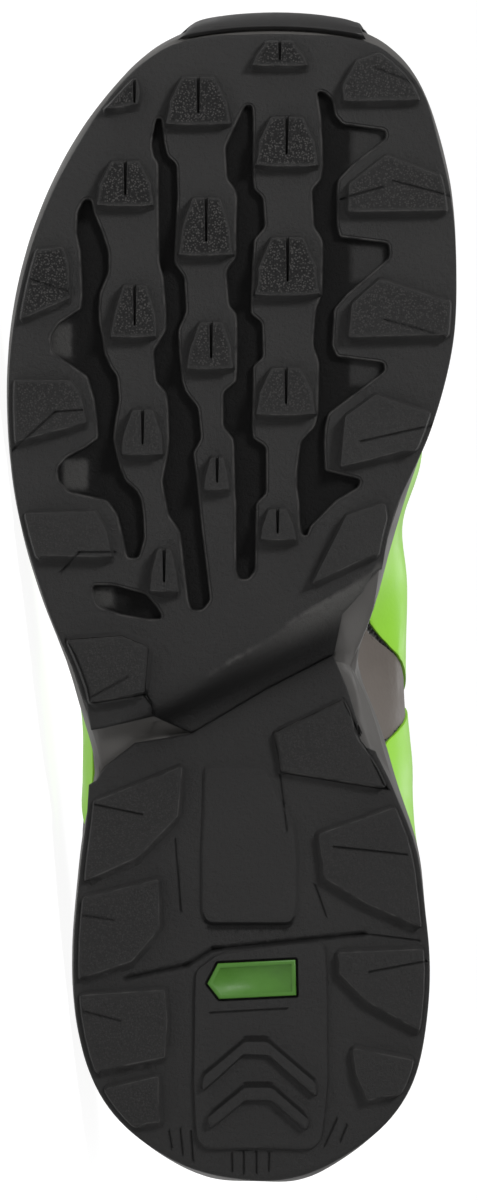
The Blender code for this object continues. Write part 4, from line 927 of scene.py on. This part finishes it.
def close_back(work, verts, made, outline):
    """The rubber's outer side and its back, which lies against the foam."""
    place = {source: i for i, group in enumerate(made[3]) for source in group}
    rim = [verts[place[i]] for i in range(len(outline))]
    ring = rim
    inset = outline - outward(outline) * 0.0004
    for points, lift in ((outline, RUBBER_DEPTH - 0.0005), (inset, RUBBER_DEPTH)):
        heights = ground(points[:, 0], points[:, 1]) + LUG_HEIGHT + lift
        following = [work.verts.new((x, y, z)) for (x, y), z in zip(points, heights)]
        for i in range(len(ring)):
            j = (i + 1) % len(ring)
            work.faces.new((ring[i], ring[j], following[j], following[i]))
        ring = following
    spots = np.concatenate([inset, hex_grid(inset, 0.006, 0.002, [], 5)])
    edges = [(i, (i + 1) % len(inset)) for i in range(len(inset))]
    back = delaunay_2d_cdt([Vector(p) / MM for p in spots], edges, [], 1, 1e-4)
    corner = []
    for point, sources in zip(back[0], back[3]):
        if sources and sources[0] < len(inset):
            corner.append(ring[sources[0]])
            continue
        x, y = point.x * MM, point.y * MM
        corner.append(work.verts.new((x, y, float(ground(x, y)) + LUG_HEIGHT + RUBBER_DEPTH)))
    for face in back[2]:
        work.faces.new([corner[i] for i in face])


foam_tree = BVHTree.FromBMesh(cad_body("midsole"))
forefoot = make_tread("tread_forefoot", "outsole_forefoot", foam_tree, 0.0)
heel = make_tread("tread_heel", "outsole_heel", foam_tree, HEEL_FLOOR)
place_in_world(forefoot, "rubber", "outsole_forefoot")
place_in_world(heel, "rubber", "outsole_heel")


# The heel's green plate, with a raised border

def rim_of(group):
    inside = set(group)
    return [e for f in group for e in f.edges if any(other not in inside for other in e.link_faces)]


def soften(work, edges, offset, segments):
    """Rounds some edges."""
    return bmesh.ops.bevel(
        work,
        geom=edges,
        offset=offset,
        offset_type="OFFSET",
        segments=segments,
        profile=0.5,
        affect="EDGES",
        clamp_overlap=True,
    )["faces"]


def make_badge():
    work = cad_body("heel_badge")
    tops = max(face_islands(work, math.radians(20)), key=lambda g: -sum(f.normal.z * f.calc_area() for f in g))
    soften(work, rim_of(tops), 0.0003, 2)
    group = max(face_islands(work, math.radians(10)), key=lambda g: -sum(f.normal.z * f.calc_area() for f in g))
    bmesh.ops.dissolve_faces(work, faces=group)
    face = max(work.faces, key=lambda f: -f.normal.z * f.calc_area())
    bmesh.ops.inset_region(work, faces=[face], thickness=0.0009, depth=0.0)
    bmesh.ops.inset_region(work, faces=[face], thickness=0.0002, depth=-0.00035)
    return make_piece("heel_plate", work, BADGE, 30)


place_in_world(make_badge(), "badge", "heel_badge")


# The foam and the insole

Tuck = namedtuple("Tuck", "along ahead behind amount low high")
TUCKS = (
    Tuck(171, 11, 11, 2.9, 38, 52),
    Tuck(91, 10, 10, 1.6, 38, 52),
    Tuck(136, 18, 12, 5.0, 11, 19),
    Tuck(136, 18, 12, -5.0, 42, 55),
)

OUTER_TUCKS = (Tuck(108, 10, 12, 2.8, -2, 2),)


def drawn_in(points, tucks, towards=1):
    """One side, the inner one at first, drawn in where the photo shows it narrower."""
    points = points.copy()
    side = np.clip(towards * points[:, 1] / 0.018, 0, 1) * towards
    for tuck in tucks:
        along = points[:, 0] / MM - tuck.along
        reach = np.where(along > 0, tuck.ahead, tuck.behind)
        above = ease((points[:, 2] / MM - tuck.low) / (tuck.high - tuck.low))
        points[:, 1] -= tuck.amount * MM * np.exp(-(along / reach) ** 2) * side * above
    return points


def make_foam():
    work = cad_body("midsole")
    crease_sharp(work, math.radians(24))
    piece = subdivide(make_piece("midsole_foam", work, FOAM), 2)
    points = drawn_in(fitted(points_of(piece)), TUCKS)
    set_points(piece, drawn_in(points, OUTER_TUCKS, -1))
    piece.data.set_sharp_from_angle(angle=math.radians(34))
    return piece


def make_insole():
    work = cad_body("insole")
    soften(work, [e for e in work.edges if e.calc_face_angle(0.0) > math.radians(50)], 0.0012, 3)
    piece = make_piece("insole_pad", work, INSOLE_CLOTH, 50)
    set_points(piece, drawn_in(points_of(piece), TUCKS))
    wrap_uv(piece, 0.0, 0.05)
    layer = piece.data.uv_layers["cloth"]
    points = points_of(piece)
    loops = np.array([loop.vertex_index for loop in piece.data.loops])
    layer.data.foreach_set("uv", points[loops][:, :2].astype(np.float32).ravel())
    return piece


foam = make_foam()
insole = make_insole()


# The upper

Crease = namedtuple("Crease", "along across length lean width depth")
CREASES = (
    Crease(214, 6, 34, 12, 3.2, 1.1),
    Crease(224, 2, 40, 4, 3.6, 1.3),
    Crease(235, 8, 36, -6, 3.4, 0.9),
    Crease(205, -34, 22, 40, 3.0, 0.8),
    Crease(206, 36, 22, -36, 3.0, 0.8),
    Crease(92, -36, 26, 70, 3.4, 0.8),
    Crease(92, 36, 26, -70, 3.4, 0.8),
)


def crease_depth(points):
    """How far the creases of wear press each point of the upper in."""
    depth = np.zeros(len(points))
    for crease in CREASES:
        lean = math.radians(crease.lean)
        along = points[:, 0] / MM - crease.along
        across = points[:, 1] / MM - crease.across
        offset = along * math.cos(lean) + across * math.sin(lean)
        run = -along * math.sin(lean) + across * math.cos(lean)
        fade = np.exp(-(run / (crease.length / 2)) ** 4)
        trough = np.exp(-(offset / crease.width) ** 2)
        ridge = 0.45 * np.exp(-((np.abs(offset) - 2.1 * crease.width) / crease.width) ** 2)
        depth += crease.depth * fade * (trough - ridge)
    return depth * MM


def make_upper():
    work = cad_body("upper")
    to_quads(work)
    piece = subdivide(make_piece("upper_shell", work, (MESH, LINING)), 2)
    points = points_of(piece)
    normals = np.array([v.normal for v in piece.data.vertices])
    middle = np.column_stack([points[:, 0], np.zeros(len(points)), np.full(len(points), 0.05)])
    outward = ((points - middle) * normals).sum(axis=1)
    sign = np.where(outward > 0, 1.0, -1.0)
    points = points - normals * (crease_depth(points) * sign * ease((points[:, 2] - 0.042) / 0.012))[:, None]
    set_points(piece, drawn_in(points, TUCKS))
    for face in piece.data.polygons:
        centre = np.array(face.center)
        away = centre - np.array([centre[0], 0.0, 0.05])
        face.material_index = int(np.dot(away, np.array(face.normal)) < -0.25 * np.linalg.norm(away))
    wrap_uv(piece, 0.045, 0.045)
    piece.data.shade_smooth()
    return piece


upper = make_upper()
upper_surface = surface_tree(upper)


def outer_sheet(node):
    """The outside of an overlay's solid as an open sheet."""
    work = cad_body(node)
    hidden = []
    for face in work.faces:
        centre = face.calc_center_median()
        near = upper_surface.find_nearest(centre)
        if face.normal.dot(near[1]) < 0.5 or (centre - near[0]).dot(near[1]) < 0.0009:
            hidden.append(face)
    bmesh.ops.delete(work, geom=hidden, context="FACES")
    to_quads(work)
    return work


def spread_rim(work, amount):
    """Moves an open sheet's edge outwards along the sheet."""
    moves = {}
    for vert in work.verts:
        if not vert.is_boundary:
            continue
        around = [edge.other_vert(vert).co for edge in vert.link_edges]
        way = vert.co - sum(around, Vector()) / len(around)
        way -= vert.normal * way.dot(vert.normal)
        if way.length > 1e-7:
            moves[vert] = way.normalized() * amount
    for vert, move in moves.items():
        vert.co += move


def make_overlay(name, node, material, lift, thickness, lap):
    """A thin skin that hugs the smooth upper and has softly rounded edges."""
    work = outer_sheet(node)
    if lap:
        spread_rim(work, lap)
    piece = subdivide(make_piece(name, work, material), 2, "PRESERVE_CORNERS")
    points = points_of(piece)
    if "inner" in node:
        points[:, 0] -= PANEL_SHIFT * np.exp(-((points[:, 0] - 0.134) / 0.020) ** 2)
    if node == "green_outer":
        points[:, 0] += OUTER_SHIFT
    snapped = []
    for point in points:
        near = upper_surface.find_nearest(Vector(point))
        snapped.append(near[0] + near[1] * lift)
    set_points(piece, snapped)
    outline = boundary_loops(piece)
    solid = piece.modifiers.new("thickness", "SOLIDIFY")
    solid.thickness = thickness
    solid.offset = 1.0
    soft = piece.modifiers.new("soft_edge", "BEVEL")
    soft.width = thickness * 0.45
    soft.segments = 2
    soft.limit_method = "ANGLE"
    soft.angle_limit = math.radians(50)
    bake(piece, 45)
    wrap_uv(piece, 0.045, 0.045)
    return piece, outline


def boundary_loops(piece):
    """The closed edges of an open sheet, as lists of points."""
    work = bmesh.new()
    work.from_mesh(piece.data)
    edges = [e for e in work.edges if len(e.link_faces) == 1]
    loops = []
    while edges:
        after = {}
        for edge in edges:
            for vert in edge.verts:
                after.setdefault(vert, []).append(edge)
        start = edges[0].verts[0]
        loop, here, used = [start], start, set()
        while True:
            ways = [e for e in after[here] if e not in used]
            if not ways:
                break
            used.add(ways[0])
            here = ways[0].other_vert(here)
            if here is start:
                break
            loop.append(here)
        loops.append([v.co.copy() for v in loop])
        edges = [e for e in edges if e not in used]
    work.free()
    return loops


PANEL_SHIFT = 0.0032
OUTER_SHIFT = 0.0160
Skin = namedtuple("Skin", "name node material slot lift thickness lap")
SKINS = (
    Skin("green_panel_outer", "green_outer", LIME, "green", 0.00035, 0.0008, 0.0),
    Skin("green_panel_inner_rear", "green_inner_rear", LIME, "green", 0.00050, 0.0008, 0.0),
    Skin("green_panel_inner_front", "green_inner_front", LIME, "green", 0.00050, 0.0008, 0.0),
    Skin("saddle_chevron", "saddle_inner", TAUPE, "overlay", 0.00010, 0.0006, 0.0027),
    Skin("heel_counter_film", "heel_counter", SMOKE, "counter", 0.00035, 0.0010, 0.0),
    Skin("eyestay_film", "eyestay", TAUPE, "overlay", 0.00035, 0.0011, 0.0),
)
overlays = {}
outlines = {}
for skin in SKINS:
    overlays[skin.node], outlines[skin.node] = make_overlay(
        skin.name, skin.node, skin.material, skin.lift, skin.thickness, skin.lap
    )


def trim(work, place, direction):
    """Cuts a closed solid with a plane, drops what lies beyond it and closes the cut."""
    everything = work.verts[:] + work.edges[:] + work.faces[:]
    cut = bmesh.ops.bisect_plane(
        work, geom=everything, plane_co=place, plane_no=direction, clear_outer=True, dist=1e-6
    )["geom_cut"]
    rim = [item for item in cut if isinstance(item, bmesh.types.BMEdge)]
    bmesh.ops.holes_fill(work, edges=rim, sides=0)


def make_bumper():
    work = cad_body("toe_bumper")
    for across, slant, side in ((-0.0132, 1.0, -1), (0.0272, 0.55, 1)):
        trim(work, Vector((LENGTH, across, 0.03)), Vector((slant, side, -0.10)))
    bmesh.ops.triangulate(work, faces=[face for face in work.faces if len(face.verts) > 4])
    to_quads(work)
    crease_sharp(work, math.radians(55))
    piece = subdivide(make_piece("toe_bumper_rubber", work, TOE_RUBBER), 2)
    piece.data.set_sharp_from_angle(angle=math.radians(50))
    return piece


def make_tongue():
    work = cad_body("tongue")
    to_quads(work)
    for _ in range(4):
        bmesh.ops.smooth_vert(
            work, verts=work.verts, factor=0.5, use_axis_x=True, use_axis_y=True, use_axis_z=True
        )
    piece = subdivide(make_piece("tongue_pad", work, TONGUE_MESH), 2)
    wrap_uv(piece, 0.045, 0.045)
    return piece


bumper = make_bumper()
tongue = make_tongue()


# The eyelets and the lace

Eyelet = namedtuple("Eyelet", "along outer inner height")
EYELETS = (
    Eyelet(126.0, -25.6, 25.4, 94.9),
    Eyelet(145.5, -25.3, 23.8, 91.7),
    Eyelet(164.0, -24.8, 23.5, 87.8),
    Eyelet(180.8, -22.9, 22.4, 84.2),
    Eyelet(195.2, -19.6, 20.2, 80.9),
    Eyelet(206.7, -14.5, 16.1, 78.1),
)
LACE_WIDTH = 0.0046
LACE_THICKNESS = 0.0013
EYELET_RADIUS = 0.0021
EYELET_WIRE = 0.00055
lace_bed = surface_tree(upper, overlays["eyestay"], tongue)
stay_surface = surface_tree(overlays["eyestay"])


def eyelet_place(eyelet, side):
    across = eyelet.outer if side < 0 else eyelet.inner
    near = stay_surface.find_nearest(Vector((eyelet.along, across, eyelet.height + 1.5)) * MM)
    return near[0], near[1]


def taut_heights(distances, heights):
    """The upper hull of a profile: a taut lace touches only its crests."""
    hull = []
    for point in zip(distances, heights):
        while len(hull) > 1:
            (x1, z1), (x2, z2) = hull[-2:]
            if (z2 - z1) * (point[0] - x2) > (point[1] - z2) * (x2 - x1):
                break
            hull.pop()
        hull.append(point)
    return np.interp(distances, [p[0] for p in hull], [p[1] for p in hull])


def lace_path(start, end, over):
    """A run of the lace from one eyelet to another, over the tongue."""
    shares = np.linspace(0, 1, 33)
    a, b = Vector(start[0]), Vector(end[0])
    places = [a.lerp(b, float(s)) for s in shares]
    heights = []
    for place in places:
        hit = lace_bed.ray_cast(Vector((place.x, place.y, 0.2)), Vector((0, 0, -1)))[0]
        heights.append(hit.z if hit is not None else place.z)
    span_length = (b.xy - a.xy).length
    heights = taut_heights(shares * span_length, heights)
    heights += LACE_THICKNESS * 0.55 + over * LACE_THICKNESS * np.exp(-((shares - 0.5) / 0.11) ** 2)
    dive = np.clip(1 - np.minimum(shares, 1 - shares) * span_length / 0.0022, 0, 1) ** 2
    heights -= dive * 0.0030
    return [Vector((p.x, p.y, float(z))) for p, z in zip(places, heights)]


def band_mesh(work, path, width, thickness):
    """A flat band with rounded edges along a path, with a UV map in metres."""
    layer = work.loops.layers.uv.get("cloth") or work.loops.layers.uv.new("cloth")
    outline = []
    for k in range(14):
        angle = 2 * math.pi * k / 14
        x = math.copysign(abs(math.cos(angle)) ** 0.45, math.cos(angle)) * width / 2
        z = math.copysign(abs(math.sin(angle)) ** 0.8, math.sin(angle)) * thickness / 2
        outline.append((x, z))
    rings, lengths = [], [0.0]
    for i, point in enumerate(path):
        ahead = path[min(i + 1, len(path) - 1)] - path[max(i - 1, 0)]
        ahead.normalize()
        side = ahead.cross(Vector((0, 0, 1))).normalized()
        lift = side.cross(ahead).normalized()
        rings.append([work.verts.new(point + side * x + lift * z) for x, z in outline])
        if i:
            lengths.append(lengths[-1] + (point - path[i - 1]).length)
    for i in range(len(rings) - 1):
        for k in range(len(outline)):
            j = (k + 1) % len(outline)
            face = work.faces.new((rings[i][k], rings[i][j], rings[i + 1][j], rings[i + 1][k]))
            around = (k, k + 1, k + 1, k)
            along = (i, i, i + 1, i + 1)
            for loop, a, b in zip(face.loops, along, around):
                loop[layer].uv = (lengths[a], outline[b % len(outline)][0])
    work.faces.new(rings[0][::-1])
    work.faces.new(rings[-1])
    return lengths[-1]


def make_lace():
    work = bmesh.new()
    total = 0.0
    last = EYELETS[-1]
    total += band_mesh(work, lace_path(eyelet_place(last, -1), eyelet_place(last, 1), 0), LACE_WIDTH, LACE_THICKNESS)
    for rear, front in zip(EYELETS, EYELETS[1:]):
        for side in (-1, 1):
            path = lace_path(eyelet_place(rear, side), eyelet_place(front, -side), 1.15 if side > 0 else 0.0)
            total += band_mesh(work, path, LACE_WIDTH, LACE_THICKNESS)
    bmesh.ops.recalc_face_normals(work, faces=work.faces)
    print("lace length over the tongue, m:", round(total, 3))
    return make_piece("lace_runs", work, LACE_WEAVE, 60)


lace = make_lace()


# Small repeats, made by Geometry Nodes

def repeat_tree(name):
    """Places a small piece on each point, turned by the point's own two directions."""
    tree = bpy.data.node_groups.new(name, "GeometryNodeTree")
    tree.interface.new_socket("Geometry", in_out="INPUT", socket_type="NodeSocketGeometry")
    tree.interface.new_socket("Piece", in_out="INPUT", socket_type="NodeSocketObject")
    tree.interface.new_socket("Size", in_out="INPUT", socket_type="NodeSocketFloat")
    tree.interface.new_socket("Finish", in_out="INPUT", socket_type="NodeSocketMaterial")
    tree.interface.new_socket("Geometry", in_out="OUTPUT", socket_type="NodeSocketGeometry")
    given = add(tree, "NodeGroupInput").outputs
    shape = add(tree, "GeometryNodeObjectInfo", None, {"Object": given["Piece"]})
    along = add(tree, "GeometryNodeInputNamedAttribute", {"data_type": "FLOAT_VECTOR"}, {"Name": "along"})
    off = add(tree, "GeometryNodeInputNamedAttribute", {"data_type": "FLOAT_VECTOR"}, {"Name": "off"})
    turned = add(tree, "FunctionNodeAlignRotationToVector", {"axis": "Z"}, {"Vector": off.outputs["Attribute"]})
    settled = add(
        tree,
        "FunctionNodeAlignRotationToVector",
        {"axis": "X", "pivot_axis": "Z"},
        {"Rotation": turned.outputs[0], "Vector": along.outputs["Attribute"]},
    )
    points = add(tree, "GeometryNodeMeshToPoints", None, {"Mesh": given["Geometry"]})
    copies = add(
        tree,
        "GeometryNodeInstanceOnPoints",
        None,
        {
            "Points": points.outputs[0],
            "Instance": shape.outputs["Geometry"],
            "Rotation": settled.outputs[0],
            "Scale": given["Size"],
        },
    )
    real = add(tree, "GeometryNodeRealizeInstances", None, {"Geometry": copies.outputs[0]})
    finished = add(
        tree, "GeometryNodeSetMaterial", None, {"Geometry": real.outputs[0], "Material": given["Finish"]}
    )
    add(tree, "NodeGroupOutput", None, {"Geometry": finished.outputs[0]})
    return tree


REPEAT = repeat_tree("place_small_pieces")


def repeat(name, places, shape, size, finish):
    """One mesh of copies of a small shape. Each place is a point with its two directions."""
    mesh = bpy.data.meshes.new(name)
    mesh.from_pydata([p[0] for p in places], [], [])
    for key, column in (("along", 1), ("off", 2)):
        layer = mesh.attributes.new(key, "FLOAT_VECTOR", "POINT")
        layer.data.foreach_set("vector", np.array([p[column] for p in places], np.float32).ravel())
    piece = bpy.data.objects.new(name, mesh)
    bpy.context.scene.collection.objects.link(piece)
    change = piece.modifiers.new("repeat", "NODES")
    change.node_group = REPEAT
    values = {"Piece": shape, "Size": size, "Finish": finish}
    for item in REPEAT.interface.items_tree:
        if item.in_out == "INPUT" and item.name in values:
            change[item.identifier] = values[item.name]
    bake(piece, 50)
    return piece


def small_shape(name, build):
    """A shape that the repeats copy. It isn't shown itself."""
    work = bmesh.new()
    build(work)
    shape = make_piece(name, work, THREAD)
    shape.hide_render = True
    return shape


def build_stitch(work):
    """One stitch: a short thread whose ends go down into the cloth."""
    rings = []
    for k in range(7):
        share = k / 6 * 2 - 1
        centre = Vector((share * 0.5, 0, 0.16 * (1 - share ** 4) - 0.05))
        size = 0.13 * (1 - 0.55 * share ** 6)
        rings.append(
            [
                work.verts.new(centre + Vector((0, size * math.cos(a), size * math.sin(a))))
                for a in [math.pi / 3 * j for j in range(6)]
            ]
        )
    for low, high in zip(rings, rings[1:]):
        for j in range(6):
            k = (j + 1) % 6
            work.faces.new((low[j], low[k], high[k], high[j]))
    work.faces.new(rings[0][::-1])
    work.faces.new(rings[-1])
    bmesh.ops.recalc_face_normals(work, faces=work.faces)


def build_eyelet(work):
    """A punched eyelet's rolled rim, one unit in radius."""
    wire = EYELET_WIRE / EYELET_RADIUS
    rings = []
    for k in range(28):
        angle = 2 * math.pi * k / 28
        out = Vector((math.cos(angle), math.sin(angle), 0))
        rings.append(
            [
                work.verts.new(out * (1 + wire * math.cos(a)) + Vector((0, 0, wire * 0.8 * math.sin(a))))
                for a in [math.pi / 4 * j for j in range(8)]
            ]
        )
    for k in range(28):
        low, high = rings[k], rings[(k + 1) % 28]
        for j in range(8):
            i = (j + 1) % 8
            work.faces.new((low[j], high[j], high[i], low[i]))
    bmesh.ops.recalc_face_normals(work, faces=work.faces)


STITCH = small_shape("one_stitch", build_stitch)
EYELET_SHAPE = small_shape("one_eyelet", build_eyelet)
STITCH_LENGTH = 0.0026
STITCH_PITCH = 0.0032
SEAM_INSET = 0.0020


def seam(loop, surface, inset, pitch):
    """Places for stitches that run inside a loop's edge, on a surface."""
    count = len(loop)
    centre = sum(loop, Vector()) / count
    inner = []
    for i, point in enumerate(loop):
        way = (loop[(i + 2) % count] - loop[i - 2]).normalized()
        near = surface.find_nearest(point)
        aside = near[1].cross(way).normalized()
        trial = surface.find_nearest(point + aside * inset)[0]
        other = surface.find_nearest(point - aside * inset)[0]
        far = (trial - point).length < (other - point).length
        inner.append(other if far else trial)
    total = sum((inner[(i + 1) % count] - inner[i]).length for i in range(count))
    number = max(3, int(total / pitch))
    marks, walked, i = [], 0.0, 0
    for k in range(number):
        target = total * k / number
        while walked + (inner[(i + 1) % count] - inner[i]).length < target:
            walked += (inner[(i + 1) % count] - inner[i]).length
            i = (i + 1) % count
        step = inner[(i + 1) % count] - inner[i]
        share = (target - walked) / max(step.length, 1e-9)
        near = surface.find_nearest(inner[i] + step * share)
        marks.append((tuple(near[0]), tuple(step.normalized()), tuple(near[1])))
    return marks


def make_seams():
    places = []
    for node in ("eyestay",):
        surface = surface_tree(overlays[node])
        for loop in outlines[node]:
            places += seam(loop, surface, SEAM_INSET, STITCH_PITCH)
    return repeat("overlay_stitches", places, STITCH, STITCH_LENGTH, THREAD)


def make_eyelets():
    places = []
    for eyelet in EYELETS:
        for side in (-1, 1):
            spot, normal = eyelet_place(eyelet, side)
            along = Vector((1, 0, 0))
            places.append((tuple(spot), tuple(along), tuple(normal)))
    return repeat("eyelet_rims", places, EYELET_SHAPE, EYELET_RADIUS, EYELET_RIM)


stitches = make_seams()
eyelets = make_eyelets()
for helper in (STITCH, EYELET_SHAPE):
    bpy.data.objects.remove(helper)

place_in_world(foam, "foam", "midsole")
place_in_world(insole, "insole", "insole")
place_in_world(upper, "mesh", "upper")
for skin in SKINS:
    place_in_world(overlays[skin.node], skin.slot, skin.node)
place_in_world(bumper, "bumper", "toe_bumper")
place_in_world(tongue, "tongue", "tongue")
place_in_world(lace, "lace", "lace")
place_in_world(stitches, "lace")
place_in_world(eyelets, "counter")


# The floor, the lights and the camera

def make_floor():
    """A pale floor with a faint glow of its own, so that it stays white in soft light."""
    work = bmesh.new()
    bmesh.ops.create_grid(work, x_segments=4, y_segments=4, size=14.0)
    material, tree, shader, place = shader_of("pale_floor", 0.9, {"Specular IOR Level": 0.1})
    paint(tree, shader, blend_colour(tree, cloud(tree, place, 3.0), (0.24, 0.24, 0.24), (0.26, 0.26, 0.26)))
    shader.inputs["Emission Color"].default_value = (1.0, 1.0, 1.0, 1)
    shader.inputs["Emission Strength"].default_value = 0.92
    piece = make_piece("floor", work, material, 60)


def add_light(name, place, target, size, power):
    data = bpy.data.lights.new(name, "AREA")
    data.shape = "DISK"
    data.size = size
    data.energy = power
    light = bpy.data.objects.new(name, data)
    light.location = place
    light.rotation_euler = (Vector(target) - Vector(place)).to_track_quat("-Z", "Y").to_euler()
    bpy.context.scene.collection.objects.link(light)


def make_camera():
    data = bpy.data.cameras.new("camera")
    data.sensor_width = SENSOR
    data.lens = SENSOR * CAMERA_DISTANCE / PHOTO_HEIGHT
    data.clip_start = 0.1
    data.clip_end = 50.0
    camera = bpy.data.objects.new("camera", data)
    ahead, inner, away = (TO_WORLD.to_3x3().col[i].copy() for i in range(3))
    camera.matrix_world = Matrix((inner, ahead, -away)).transposed().to_4x4()
    camera.location = TO_WORLD @ PHOTO_CENTRE - away * CAMERA_DISTANCE
    bpy.context.scene.collection.objects.link(camera)
    bpy.context.scene.camera = camera


make_floor()
add_light("key_light", (-0.95, -1.25, 1.45), (0, 0, 0.05), 0.45, 46)
add_light("front_light", (1.1, -2.4, 0.9), (0, 0, 0.05), 1.4, 9)
add_light("back_light", (0.4, 1.7, 1.5), (0, 0.05, 0.05), 1.2, 12)
make_camera()
world = bpy.context.scene.world or bpy.data.worlds.new("World")
bpy.context.scene.world = world
world.use_nodes = True
world.node_tree.nodes["Background"].inputs["Color"].default_value = (1.0, 1.0, 1.0, 1)
world.node_tree.nodes["Background"].inputs["Strength"].default_value = 0.36
bpy.context.scene.view_settings.view_transform = "Standard"
